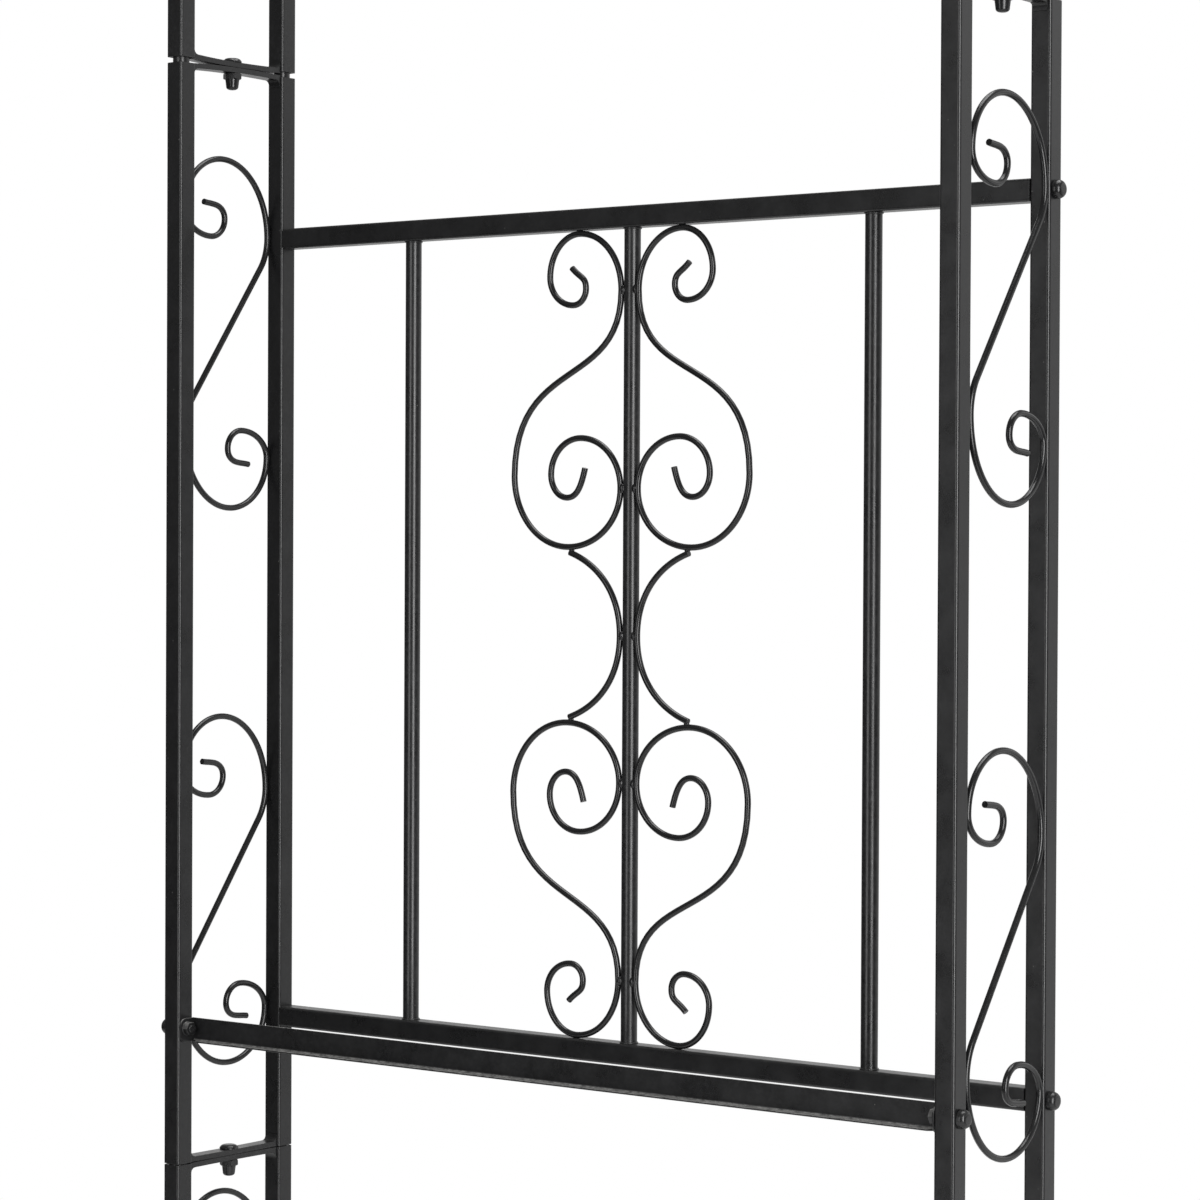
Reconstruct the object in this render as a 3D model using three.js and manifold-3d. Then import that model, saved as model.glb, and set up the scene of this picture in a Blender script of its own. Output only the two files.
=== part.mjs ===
// Garden arch of black coated steel: two ladder-like legs, an arched top and a scrollwork gate panel.
// Millimetres, +Z up, origin on the ground at the middle of the footprint. The front is towards -Y.
import * as THREE from 'three';
import { mergeVertices } from 'three/addons/utils/BufferGeometryUtils.js';
import Module from 'manifold-3d';

const wasm = await Module();
wasm.setup();

// Overall frame
const archWidth = 998;
const archDepth = 180;
const lowerLegHeight = 472.5;
const middleLegHeight = 1183;
const archStraight = 98.5;

// Square tube of the legs, the arch and the rails
const tubeSide = 22;
const tubeWall = 1.2;
const tubeCornerRadius = 2;

// Slack between neighbouring pieces, overlaps of what is welded into one piece, and overrun of cuts
const fitGap = 0.3;
const weldOverlap = 0.5;
const plugOverlap = 0.1;
const cutOverrun = 2;

// Spigot joints between the leg sections and at the top of the arch
const jointGap = 6;
const spigotSlack = 1;
const spigotReach = 34;
const apexSpigotReach = 15;
const spigotWall = 1.5;
const neckPlugDepth = 8;
const footCapThickness = 3;

// Flat cross bars, which a bolt draws together in the middle of each joint
const barWidth = 16;
const barThickness = 5.5;
const barFilletReach = 5;
const barMeetingGap = 0.4;
const footBarHeight = 24;

// Bolts with domed heads, and the cap nuts of the joints
const boltShankDiameter = 8;
const boltHeadCrownDiameter = 8;
const railBoltHeadDiameter = 18;
const railBoltHeadHeight = 8.5;
const railBoltHeadWallHeight = 3.6;
const railBoltLength = 32;
const jointBoltHeadDiameter = 20.6;
const jointBoltHeadHeight = 4.6;
const jointBoltHeadWallHeight = 0.8;
const capNutAcrossCorners = 20.4;
const capNutHexHeight = 6.5;
const capNutBarrelDiameter = 16;
const capNutTipDiameter = 13.4;
const capNutHeight = 18;
const capNutTipHeight = 4;
const capNutThreadDepth = 13;

// Wire of all scrolls
const wireDiameter = 6;

// Scrolls in the legs: how far they stay from the ground, or from the joint above or below
const lowerScrollRise = 52.5;
const lowerScrollDrop = 41;
const middleScrollMargin = 98.9;

// Gate panel: how far its ends stay from the joints below and above, and what it is made of
const panelRise = 133.3;
const panelDrop = 170.1;
const roundBarDiameter = 17;
const roundBarWall = 1.2;
const sideBarOffset = 295;
const panelScrollReach = 151;
const panelWireForward = 4;
const linkWireHeight = 169.4;
const linkWireReach = 76.5;
const railInsertDepth = 16;

// Front rail, an angle with bolted end plates
const frontRailDrop = 1.8;
const frontRailHeight = 25.6;
const frontRailBoltRise = 14.8;
const frontRailFlange = 10;
const frontRailThickness = 1.8;
const frontRailFlangeRelief = 13.5;
const endPlateThickness = 2;
const endPlateSetback = 1;
const weldNutAcrossCorners = 15;
const weldNutHeight = 6.5;

// How the scroll wires run. Each row is a place on the wire as shares of the scroll's width and height, and
// the wire's heading there in degrees: 0 is away from the post or bar where the row's share is 0, 90 is up.
const legDiagonalShares = [0.083, 0.303];
const legCurlShares = [
  [0, 0.214, 270],
  [0.552, 0, 0],
  [1, 0.147, 90],
  [0.689, 0.224, 180],
  [0.523, 0.171, 270],
  [0.642, 0.128, 0],
  [0.775, 0.124, 0],
];
const railCurlShares = [
  [0, 0.814, 90],
  [0.39, 1, 0],
  [0.667, 0.866, 270],
  [0.446, 0.773, 180],
  [0.329, 0.824, 90],
  [0.46, 0.892, 45],
];
const heartCurlShares = [
  [1, 0.229, 270],
  [0.486, 0, 180],
  [0, 0.186, 90],
  [0.376, 0.348, 0],
  [0.65, 0.233, 270],
  [0.498, 0.158, 180],
  [0.33, 0.252, 105],
];
const linkEndSlope = 30;

// How far the handles of a bend reach along the wire's headings
const quarterBendShare = 0.5523;
const slightBendShare = 0.35;
const panelSweepShares = [0.552, 0.677];

// Facets
const wireSides = 6;
const boltSides = 10;
const spigotSides = 12;
const headSteps = 3;
const barSteps = 4;
const archSteps = 12;
const leastBendSteps = 2;
const wireStepLength = 48;

// Sizes that follow from those above
const wireRadius = wireDiameter / 2;
const tubeHalf = tubeSide / 2;
const roundBarRadius = roundBarDiameter / 2;
const boreSide = tubeSide - 2 * tubeWall;
const spigotRadius = boreSide / 2 - spigotSlack;
const boltHoleRadius = boltShankDiameter / 2 + fitGap;
const postX = archWidth / 2 - tubeHalf;
const postY = archDepth / 2 - tubeHalf;
const postGap = archDepth - 2 * tubeSide;
const jointReach = jointGap / 2;
const barBow = (jointGap - barMeetingGap) / 2;
const upperJointZ = lowerLegHeight + middleLegHeight;
const bendRadius = postX - jointReach;
const railLength = archWidth - 2 * tubeSide - 2 * fitGap;
const legScrollHeight = lowerLegHeight - lowerScrollRise - lowerScrollDrop;
const panelHeight = middleLegHeight - panelRise - panelDrop;
const panelMiddleZ = lowerLegHeight + panelRise + panelHeight / 2;
const panelRailOffset = panelHeight / 2 - tubeHalf;
const frontRailZ = lowerLegHeight + panelRise - frontRailDrop + frontRailBoltRise;

const halfTurn = [Math.PI, 0, 0];

const railBoltHead = {
  diameter: railBoltHeadDiameter, height: railBoltHeadHeight, wallHeight: railBoltHeadWallHeight,
};
const jointBoltHead = {
  diameter: jointBoltHeadDiameter, height: jointBoltHeadHeight, wallHeight: jointBoltHeadWallHeight,
};

const powderCoat = { color: 0x1b1b1c, roughness: 0.42, metalness: 0.0 };
const fastenerCoat = { color: 0x141415, roughness: 0.3, metalness: 0.0 };

// Boolean work on closed shapes

function toSolid(geometry) {
  const plain = geometry.clone();
  plain.deleteAttribute('normal');
  plain.deleteAttribute('uv');
  const merged = mergeVertices(plain);
  return new wasm.Manifold(new wasm.Mesh({
    numProp: 3,
    vertProperties: new Float32Array(merged.attributes.position.array),
    triVerts: new Uint32Array(merged.index.array),
  }));
}

function toGeometry(solid) {
  const mesh = solid.getMesh();
  const geometry = new THREE.BufferGeometry();
  geometry.setAttribute('position', new THREE.BufferAttribute(new Float32Array(mesh.vertProperties), 3));
  geometry.setIndex(new THREE.BufferAttribute(new Uint32Array(mesh.triVerts), 1));
  geometry.computeVertexNormals();
  return geometry;
}

function joined(first, ...others) {
  return toGeometry(others.reduce((solid, other) => solid.add(toSolid(other)), toSolid(first)));
}

function cutBy(first, ...others) {
  return toGeometry(others.reduce((solid, other) => solid.subtract(toSolid(other)), toSolid(first)));
}

// Placing pieces and the groups that hold them

function addGroup(parent, x, y, z) {
  const group = new THREE.Group();
  group.position.set(x, y, z);
  parent.add(group);
  return group;
}

function addPiece(group, name, geometry, finish, place = [0, 0, 0], turn = [0, 0, 0]) {
  const piece = new THREE.Mesh(geometry, new THREE.MeshStandardMaterial(finish));
  piece.name = name;
  piece.position.set(...place);
  piece.rotation.set(...turn);
  group.add(piece);
}

// Basic forms

// A closed rod along +Z from the origin
function rod(radius, length, sides = boltSides) {
  const geometry = new THREE.CylinderGeometry(radius, radius, length, sides);
  return geometry.rotateX(Math.PI / 2).translate(0, 0, length / 2);
}

// A profile of radius and height turned round Z
function turning(profile, sides = boltSides) {
  const points = profile.map(([radius, height]) => new THREE.Vector2(radius, height));
  return new THREE.LatheGeometry(points, sides).rotateX(Math.PI / 2);
}

// A cutter for a bolt hole that runs along X, centred on the given place
function crossHole(x, z, reach) {
  return rod(boltHoleRadius, reach).translate(0, 0, -reach / 2).rotateY(Math.PI / 2).translate(x, 0, z);
}

function tubeSection() {
  const edge = tubeHalf - tubeCornerRadius;
  const shape = new THREE.Shape();
  shape.absarc(edge, edge, tubeCornerRadius, 0, Math.PI / 2);
  shape.absarc(-edge, edge, tubeCornerRadius, Math.PI / 2, Math.PI);
  shape.absarc(-edge, -edge, tubeCornerRadius, Math.PI, 1.5 * Math.PI);
  shape.absarc(edge, -edge, tubeCornerRadius, 1.5 * Math.PI, 2 * Math.PI);
  shape.closePath();
  const bore = boreSide / 2;
  const hole = new THREE.Path();
  hole.moveTo(-bore, -bore);
  hole.lineTo(-bore, bore);
  hole.lineTo(bore, bore);
  hole.lineTo(bore, -bore);
  hole.closePath();
  shape.holes.push(hole);
  return shape;
}

function squareTube(length, steps = 1) {
  return new THREE.ExtrudeGeometry(tubeSection(), {
    depth: length, steps, bevelEnabled: false, curveSegments: 1,
  });
}

// A block that fills the bore of a square tube over the given depth
function borePlug(depth) {
  const side = boreSide + 2 * plugOverlap;
  return new THREE.BoxGeometry(side, side, depth).translate(0, 0, depth / 2);
}

// The neck of a spigot joint at a tube's mouth on Z = 0: a plug in the mouth and a round hollow spigot that
// leaves it upwards, and the cutter that bores them both
function spigotNeck(reach) {
  const root = neckPlugDepth / 2;
  const top = jointGap + reach;
  const plug = borePlug(neckPlugDepth).translate(0, 0, -neckPlugDepth);
  const stub = rod(spigotRadius, root + top, spigotSides).translate(0, 0, -root);
  const bore = rod(spigotRadius - spigotWall, neckPlugDepth + top + 2 * cutOverrun, spigotSides);
  return { plug, stub, bore: bore.translate(0, 0, -neckPlugDepth - cutOverrun) };
}

// Legs

// A post from its bottom at Z = 0 up to the spigot at its top, with holes across it for the rail bolts
function post(length, boltHeights, hasFoot) {
  const { plug, stub, bore } = spigotNeck(spigotReach);
  const inserts = [plug.translate(0, 0, length), stub.translate(0, 0, length)];
  if (hasFoot) {
    inserts.push(borePlug(footCapThickness));
  }
  const holes = boltHeights.map((height) => crossHole(0, height, tubeSide + 2 * cutOverrun));
  return cutBy(joined(squareTube(length), ...inserts), bore.translate(0, 0, length), ...holes);
}

// A flat bar between a leg's near and far tubes, drawn in YZ. Its face towards the joint is at height 0 and
// bows down to the other bar of the joint, where the bolt passes. Weld fillets meet the tubes on its back.
function crossBar(bow, hasHole) {
  const half = postGap / 2 - fitGap;
  const inner = half - barFilletReach;
  const filletZ = barThickness + barFilletReach;
  const outline = new THREE.Shape();
  outline.moveTo(-half, 0);
  outline.quadraticCurveTo(0, -2 * bow, half, 0);
  outline.lineTo(half, filletZ);
  outline.quadraticCurveTo(half, barThickness, inner, barThickness);
  outline.quadraticCurveTo(0, barThickness - 2 * bow, -inner, barThickness);
  outline.quadraticCurveTo(-half, barThickness, -half, filletZ);
  outline.closePath();
  const bar = new THREE.ExtrudeGeometry(outline, {
    depth: barWidth, bevelEnabled: false, curveSegments: barSteps,
  });
  bar.translate(0, 0, -barWidth / 2).rotateY(Math.PI / 2).rotateX(Math.PI / 2);
  if (!hasHole) {
    return bar;
  }
  const hole = rod(boltHoleRadius, barThickness + bow + 2 * cutOverrun);
  return cutBy(bar, hole.translate(0, 0, -bow - cutOverrun));
}

// Scroll wires

// Points of a wire that bends from station to station, with the handles of each bend along its headings
function bentPoints(stations, pullShares = [quarterBendShare, quarterBendShare]) {
  const points = [stations[0].at];
  for (let i = 0; i + 1 < stations.length; i += 1) {
    const [from, to] = [stations[i], stations[i + 1]];
    const chord = to.at.clone().sub(from.at);
    const leave = from.heading.clone().multiplyScalar(pullShares[0] * chord.dot(from.heading));
    const arrive = to.heading.clone().multiplyScalar(-pullShares[1] * chord.dot(to.heading));
    const bend = new THREE.CubicBezierCurve(
      from.at, from.at.clone().add(leave), to.at.clone().add(arrive), to.at);
    const steps = leastBendSteps + Math.round(chord.length() / wireStepLength);
    points.push(...bend.getPoints(steps).slice(1));
  }
  return points;
}

function stationAt(x, y, degrees) {
  const angle = THREE.MathUtils.degToRad(degrees);
  return { at: new THREE.Vector2(x, y), heading: new THREE.Vector2(Math.cos(angle), Math.sin(angle)) };
}

function stationsFrom(shares, width, height) {
  return shares.map(([widthShare, heightShare, degrees]) => (
    stationAt(widthShare * width, heightShare * height, degrees)));
}

// A curve through given points that spends the same parameter on each step, so that each point is a ring
class WirePath extends THREE.CatmullRomCurve3 {
  getPointAt(u, target) {
    return this.getPoint(u, target);
  }

  getTangentAt(u, target) {
    return this.getTangent(u, target);
  }
}

// Round wire along drawn points, set in space by a function from the drawing to a place
function wire(points, toSpace) {
  const path = new WirePath(points.map((point) => toSpace(point.x, point.y)), false, 'centripetal');
  const section = new THREE.Shape();
  section.absarc(0, 0, wireRadius, 0, 2 * Math.PI);
  section.closePath();
  return new THREE.ExtrudeGeometry(section, {
    steps: points.length - 1, bevelEnabled: false, curveSegments: wireSides / 2, extrudePath: path,
  });
}

// The S of a leg or of the arch: a straight diagonal with a curl at each end, the one turned half round from
// the other. Drawn from the near tube to the far one and up from the bottom of the S.
function legScrollPoints() {
  const width = postGap - 2 * (wireRadius + fitGap);
  const opposite = (point) => new THREE.Vector2(width - point.x, legScrollHeight - point.y);
  const curl = stationsFrom(legCurlShares, width, legScrollHeight);
  const [xShare, zShare] = legDiagonalShares;
  const foot = new THREE.Vector2(xShare * width, zShare * legScrollHeight);
  const heading = foot.clone().sub(opposite(foot)).normalize();
  const shoulder = bentPoints([{ at: foot, heading }, curl[0]], [slightBendShare, slightBendShare]);
  const half = [...shoulder, ...bentPoints(curl).slice(1)];
  return [...half.map(opposite).reverse(), ...half];
}

// One of the panel's heart scrolls, drawn outwards from the centre bar and up from the bottom of the heart
function heartScrollPoints(width, height) {
  const railCurl = stationsFrom(railCurlShares, width, height);
  const heartCurl = stationsFrom(heartCurlShares, width, height);
  const sweepStart = { at: railCurl[0].at, heading: railCurl[0].heading.clone().negate() };
  return [
    ...bentPoints(railCurl).reverse(),
    ...bentPoints([sweepStart, heartCurl[0]], panelSweepShares).slice(1, -1),
    ...bentPoints(heartCurl),
  ];
}

// The wire that bows from heart to heart and touches the centre bar midway
function linkWirePoints(seat) {
  return bentPoints([
    stationAt(linkWireReach, linkWireHeight / 2, 180 + linkEndSlope),
    stationAt(seat, 0, 270),
    stationAt(linkWireReach, -linkWireHeight / 2, -linkEndSlope),
  ]);
}

// Fasteners

// A bolt whose domed head sits on Z = 0 and whose shank points down
function bolt(length, head) {
  const shank = boltShankDiameter / 2;
  const rim = head.diameter / 2;
  const crown = boltHeadCrownDiameter / 2;
  const dome = new THREE.QuadraticBezierCurve(
    new THREE.Vector2(rim, head.wallHeight),
    new THREE.Vector2((3 * rim + crown) / 4, head.height),
    new THREE.Vector2(crown, head.height));
  const domePoints = dome.getPoints(headSteps).map((point) => [point.x, point.y]);
  return turning([[0, -length], [shank, -length], [shank, 0], [rim, 0], ...domePoints, [0, head.height]]);
}

// A cap nut whose hexagon sits under Z = 0, with a tapered barrel and a round end below it
function capNut() {
  const hexagon = rod(capNutAcrossCorners / 2, capNutHexHeight, 6).translate(0, 0, -capNutHexHeight);
  const tipTop = capNutTipHeight - capNutHeight;
  const roundEnd = new THREE.QuadraticBezierCurve(
    new THREE.Vector2(0, -capNutHeight),
    new THREE.Vector2(capNutTipDiameter / 2, -capNutHeight),
    new THREE.Vector2(capNutTipDiameter / 2, tipTop));
  const endPoints = roundEnd.getPoints(headSteps).map((point) => [point.x, point.y]);
  const insideHexagon = -capNutHexHeight / 2;
  const barrel = turning([...endPoints, [capNutBarrelDiameter / 2, insideHexagon], [0, insideHexagon]]);
  const thread = rod(boltHoleRadius, capNutThreadDepth + cutOverrun).translate(0, 0, -capNutThreadDepth);
  return cutBy(joined(hexagon, barrel), thread);
}

// Rails

// A square rail along X, centred on the origin, with a threaded insert in each end for its bolt
function panelRail() {
  const otherInsert = borePlug(railInsertDepth).translate(0, 0, railLength - railInsertDepth);
  const bore = rod(boltHoleRadius, railLength + 2 * cutOverrun).translate(0, 0, -cutOverrun);
  const rail = cutBy(joined(squareTube(railLength), borePlug(railInsertDepth), otherInsert), bore);
  return rail.translate(0, 0, -railLength / 2).rotateY(Math.PI / 2);
}

// The front rail along X, centred on its bolts' axis: an angle with its web at the back and its flange below,
// cut back near its ends, and an end plate with a welded nut at each end
function frontRail() {
  const middleZ = frontRailHeight / 2 - frontRailBoltRise;
  const web = new THREE.BoxGeometry(railLength, frontRailThickness, frontRailHeight)
    .translate(0, tubeHalf - frontRailThickness / 2, middleZ);
  const flangeLength = railLength - 2 * frontRailFlangeRelief;
  const flange = new THREE.BoxGeometry(flangeLength, frontRailFlange, frontRailThickness)
    .translate(0, tubeHalf - frontRailFlange / 2, frontRailThickness / 2 - frontRailBoltRise);
  const ends = [];
  const holes = [];
  for (const side of [-1, 1]) {
    const plate = new THREE.BoxGeometry(endPlateThickness, tubeSide - endPlateSetback, frontRailHeight)
      .translate(side * (railLength - endPlateThickness) / 2, endPlateSetback / 2, middleZ);
    const nut = rod(weldNutAcrossCorners / 2, weldNutHeight + weldOverlap, 6)
      .rotateY(-side * Math.PI / 2)
      .translate(side * (railLength / 2 - endPlateThickness + weldOverlap), 0, 0);
    const reach = endPlateThickness + weldNutHeight + 2 * cutOverrun;
    ends.push(plate, nut);
    holes.push(crossHole(side * (railLength / 2 + cutOverrun - reach / 2), 0, reach));
  }
  return cutBy(joined(web, flange, ...ends), ...holes);
}

// Arch

// One tube of the left half of the arch: upright from the leg joint, then bent over to the top, where it may
// carry a spigot
function archTube(hasSpigot) {
  const straight = archStraight - jointReach;
  const bend = (Math.PI / 2) * bendRadius;
  const tube = squareTube(bend, archSteps + 1);
  const places = tube.attributes.position;
  for (let i = 0; i < places.count; i += 1) {
    const ring = Math.round(((archSteps + 1) * places.getZ(i)) / bend);
    if (ring > 0) {
      const angle = ((Math.PI / 2) * (ring - 1)) / archSteps;
      const radius = bendRadius - places.getX(i);
      places.setX(i, bendRadius - radius * Math.cos(angle));
      places.setZ(i, straight + radius * Math.sin(angle));
    }
  }
  if (!hasSpigot) {
    return tube;
  }
  const { plug, stub, bore } = spigotNeck(apexSpigotReach);
  for (const piece of [plug, stub, bore]) {
    piece.rotateY(Math.PI / 2).translate(bendRadius, 0, straight + bendRadius);
  }
  return cutBy(joined(tube, plug, stub), bore);
}

// Assembly

const sides = [['left', -1], ['right', 1]];
const nearestWire = -postGap / 2 + fitGap + wireRadius;

// From the drawing of a leg's scroll to its place, flush with the outside of the leg
function onLeg(side, bottomZ) {
  const x = side * (tubeHalf - wireRadius);
  return (across, up) => new THREE.Vector3(x, nearestWire + across, bottomZ + up);
}

// The same on the outside of a half of the arch, where the scroll's height runs along the bend
function onArch(side) {
  const radius = bendRadius + tubeHalf - wireRadius;
  const bendZ = archStraight - jointReach;
  return (across, up) => {
    const angle = Math.PI / 4 + (up - legScrollHeight / 2) / radius;
    const x = radius * Math.cos(angle) - bendRadius;
    return new THREE.Vector3(side * x, nearestWire + across, bendZ + radius * Math.sin(angle));
  };
}

function addLowerLeg(parent, name, side) {
  const leg = addGroup(parent, side * postX, 0, 0);
  const length = lowerLegHeight - jointReach;
  addPiece(leg, `${name}_lower_near_post`, post(length, [], true), powderCoat, [0, -postY, 0]);
  addPiece(leg, `${name}_lower_far_post`, post(length, [], true), powderCoat, [0, postY, 0]);
  addPiece(leg, `${name}_lower_joint_bar`, crossBar(barBow, true), powderCoat, [0, 0, length], halfTurn);
  addPiece(leg, `${name}_lower_foot_bar`, crossBar(0, false), powderCoat, [0, 0, footBarHeight]);
  const scroll = wire(legScrollPoints(), onLeg(side, lowerScrollRise));
  addPiece(leg, `${name}_lower_scroll`, scroll, powderCoat);
}

function addMiddleLeg(parent, name, side) {
  const bottomZ = lowerLegHeight + jointReach;
  const leg = addGroup(parent, side * postX, 0, bottomZ);
  const length = middleLegHeight - jointGap;
  const railHeights = [-panelRailOffset, panelRailOffset].map((offset) => panelMiddleZ + offset - bottomZ);
  const nearPost = post(length, [frontRailZ - bottomZ], false);
  addPiece(leg, `${name}_middle_near_post`, nearPost, powderCoat, [0, -postY, 0]);
  addPiece(leg, `${name}_middle_far_post`, post(length, railHeights, false), powderCoat, [0, postY, 0]);
  addPiece(leg, `${name}_middle_bottom_bar`, crossBar(barBow, true), powderCoat);
  addPiece(leg, `${name}_middle_top_bar`, crossBar(barBow, true), powderCoat, [0, 0, length], halfTurn);
  const lowZ = middleScrollMargin - jointReach;
  const highZ = length - lowZ - legScrollHeight;
  addPiece(leg, `${name}_middle_bottom_scroll`, wire(legScrollPoints(), onLeg(side, lowZ)), powderCoat);
  addPiece(leg, `${name}_middle_top_scroll`, wire(legScrollPoints(), onLeg(side, highZ)), powderCoat);
}

function addArchHalf(parent, name, side) {
  const half = addGroup(parent, side * postX, 0, upperJointZ + jointReach);
  const turn = side > 0 ? [0, 0, Math.PI] : [0, 0, 0];
  addPiece(half, `${name}_arch_near_tube`, archTube(side < 0), powderCoat, [0, -postY, 0], turn);
  addPiece(half, `${name}_arch_far_tube`, archTube(side < 0), powderCoat, [0, postY, 0], turn);
  addPiece(half, `${name}_arch_base_bar`, crossBar(barBow, true), powderCoat);
  const apex = [-side * bendRadius, 0, archStraight - jointReach + bendRadius];
  const quarterTurn = [0, side * Math.PI / 2, 0];
  addPiece(half, `${name}_arch_apex_bar`, crossBar(barBow, true), powderCoat, apex, quarterTurn);
  addPiece(half, `${name}_arch_scroll`, wire(legScrollPoints(), onArch(side)), powderCoat);
}

// The two bars of a joint meet in its middle, and the bolt passes through them into its cap nut
function addJointFasteners(parent, name, x, z, turnY = 0) {
  const joint = addGroup(parent, x, 0, z);
  joint.rotation.y = turnY;
  const seat = barMeetingGap / 2 + barThickness + fitGap;
  const length = 2 * seat + capNutThreadDepth - cutOverrun;
  addPiece(joint, `${name}_bolt`, bolt(length, jointBoltHead), fastenerCoat, [0, 0, seat]);
  addPiece(joint, `${name}_cap_nut`, capNut(), fastenerCoat, [0, 0, -seat]);
}

function addPanel(parent) {
  const panel = addGroup(parent, 0, postY, panelMiddleZ);
  addPiece(panel, 'panel_top_rail', panelRail(), powderCoat, [0, 0, panelRailOffset]);
  addPiece(panel, 'panel_bottom_rail', panelRail(), powderCoat, [0, 0, -panelRailOffset]);
  const barLength = panelHeight - 2 * tubeSide - 2 * fitGap;
  for (const [name, x] of [['left', -sideBarOffset], ['centre', 0], ['right', sideBarOffset]]) {
    const bore = rod(roundBarRadius - roundBarWall, barLength + 2 * cutOverrun, spigotSides);
    const bar = cutBy(rod(roundBarRadius, barLength, spigotSides), bore.translate(0, 0, -cutOverrun));
    addPiece(panel, `panel_${name}_bar`, bar, powderCoat, [x, 0, -barLength / 2]);
  }
  addPanelScrolls(panel);
}

// The wires lie a little in front of the round bars' axes
function addPanelScrolls(panel) {
  const touch = roundBarRadius + fitGap + wireRadius;
  const seat = Math.sqrt(touch * touch - panelWireForward * panelWireForward);
  const heartZ = linkWireHeight / 2 + wireDiameter + fitGap;
  const height = panelHeight / 2 - tubeSide - fitGap - wireRadius - heartZ;
  const heartPoints = heartScrollPoints(panelScrollReach - seat, height);
  for (const [name, side] of sides) {
    for (const [level, upwards] of [['upper', 1], ['lower', -1]]) {
      const toPanel = (across, up) => (
        new THREE.Vector3(side * (seat + across), -panelWireForward, upwards * (heartZ + up)));
      addPiece(panel, `panel_${level}_${name}_scroll`, wire(heartPoints, toPanel), powderCoat);
    }
    const toMiddle = (across, up) => new THREE.Vector3(side * across, -panelWireForward, up);
    addPiece(panel, `panel_${name}_link_wire`, wire(linkWirePoints(seat), toMiddle), powderCoat);
  }
}

// The rails hang on bolts that pass through the posts from outside
function addRailBolts(parent, name, side) {
  const x = side * (archWidth / 2 + fitGap);
  const outwards = [0, side * Math.PI / 2, 0];
  const places = [
    ['panel_top', postY, panelMiddleZ + panelRailOffset],
    ['panel_bottom', postY, panelMiddleZ - panelRailOffset],
    ['front_rail', -postY, frontRailZ],
  ];
  for (const [rail, y, z] of places) {
    const piece = bolt(railBoltLength, railBoltHead);
    addPiece(parent, `${name}_${rail}_bolt`, piece, fastenerCoat, [x, y, z], outwards);
  }
}

const arch = new THREE.Group();
for (const [name, side] of sides) {
  addLowerLeg(arch, name, side);
  addMiddleLeg(arch, name, side);
  addArchHalf(arch, name, side);
  addJointFasteners(arch, `${name}_lower_joint`, side * postX, lowerLegHeight);
  addJointFasteners(arch, `${name}_upper_joint`, side * postX, upperJointZ);
  addRailBolts(arch, name, side);
}
addJointFasteners(arch, 'apex_joint', 0, upperJointZ + archStraight + bendRadius, -Math.PI / 2);
addPanel(arch);
addPiece(arch, 'front_rail', frontRail(), powderCoat, [0, -postY, frontRailZ]);

export default arch;
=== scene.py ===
"""Garden arch of black coated steel with a scrollwork gate panel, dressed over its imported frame."""

import math
from contextlib import contextmanager

import bmesh
import bpy
from bpy.props import FloatProperty, FloatVectorProperty, PointerProperty
from mathutils import Matrix, Vector


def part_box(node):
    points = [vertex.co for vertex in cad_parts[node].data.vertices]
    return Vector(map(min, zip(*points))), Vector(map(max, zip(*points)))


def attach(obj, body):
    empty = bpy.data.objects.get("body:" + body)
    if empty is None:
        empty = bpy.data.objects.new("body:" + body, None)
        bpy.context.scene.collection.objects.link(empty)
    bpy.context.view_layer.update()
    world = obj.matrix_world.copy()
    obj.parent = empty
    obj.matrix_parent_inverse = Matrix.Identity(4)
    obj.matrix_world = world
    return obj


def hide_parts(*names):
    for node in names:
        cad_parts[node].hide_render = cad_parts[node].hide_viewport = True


bl_info = {
    "name": "Garden arch",
    "version": (1, 0, 0),
    "blender": (4, 5, 0),
    "location": "3D View > Sidebar > Garden arch",
    "description": "Models a coated steel garden arch with scrolls, bolts and cap nuts over its frame",
    "category": "Object",
}

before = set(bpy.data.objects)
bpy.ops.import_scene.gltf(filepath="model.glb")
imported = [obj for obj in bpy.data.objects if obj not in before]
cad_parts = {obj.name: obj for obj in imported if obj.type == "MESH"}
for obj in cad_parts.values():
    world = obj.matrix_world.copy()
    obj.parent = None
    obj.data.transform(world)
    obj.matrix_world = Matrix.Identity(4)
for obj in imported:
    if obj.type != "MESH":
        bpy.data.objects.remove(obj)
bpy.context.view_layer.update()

SIDES = (("left", -1), ("right", 1))
UP = Vector((0, 0, 1))
ALONG = Vector((1, 0, 0))
QUARTER = math.pi / 2

# Tolerances: places in metres, directions as the cosine of the angle between them

SAME_PLACE = 0.0001
SAME_VERTEX = 0.000001
FACES_ALONG = 0.9
FACES_ACROSS = 0.5
RUNS_ALONG = 0.99
CORNER_ANGLE = math.radians(40)


def mm(length):
    return length / 1000


def length_setting(name, description, length):
    return FloatProperty(
        name=name, description=description, default=mm(length), min=0, unit="LENGTH", precision=5)


def colour_setting(name, description, colour):
    return FloatVectorProperty(
        name=name, description=description, default=colour, size=3, min=0, max=1, subtype="COLOR")


def share_setting(name, description, share):
    return FloatProperty(name=name, description=description, default=share, min=0, max=1, subtype="FACTOR")


def angle_setting(name, description, degrees):
    return FloatProperty(name=name, description=description, default=math.radians(degrees), subtype="ANGLE")


def power_setting(name, description, watts):
    return FloatProperty(name=name, description=description, default=watts, min=0, unit="POWER")


# Sizes and colours that a user may change


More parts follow.
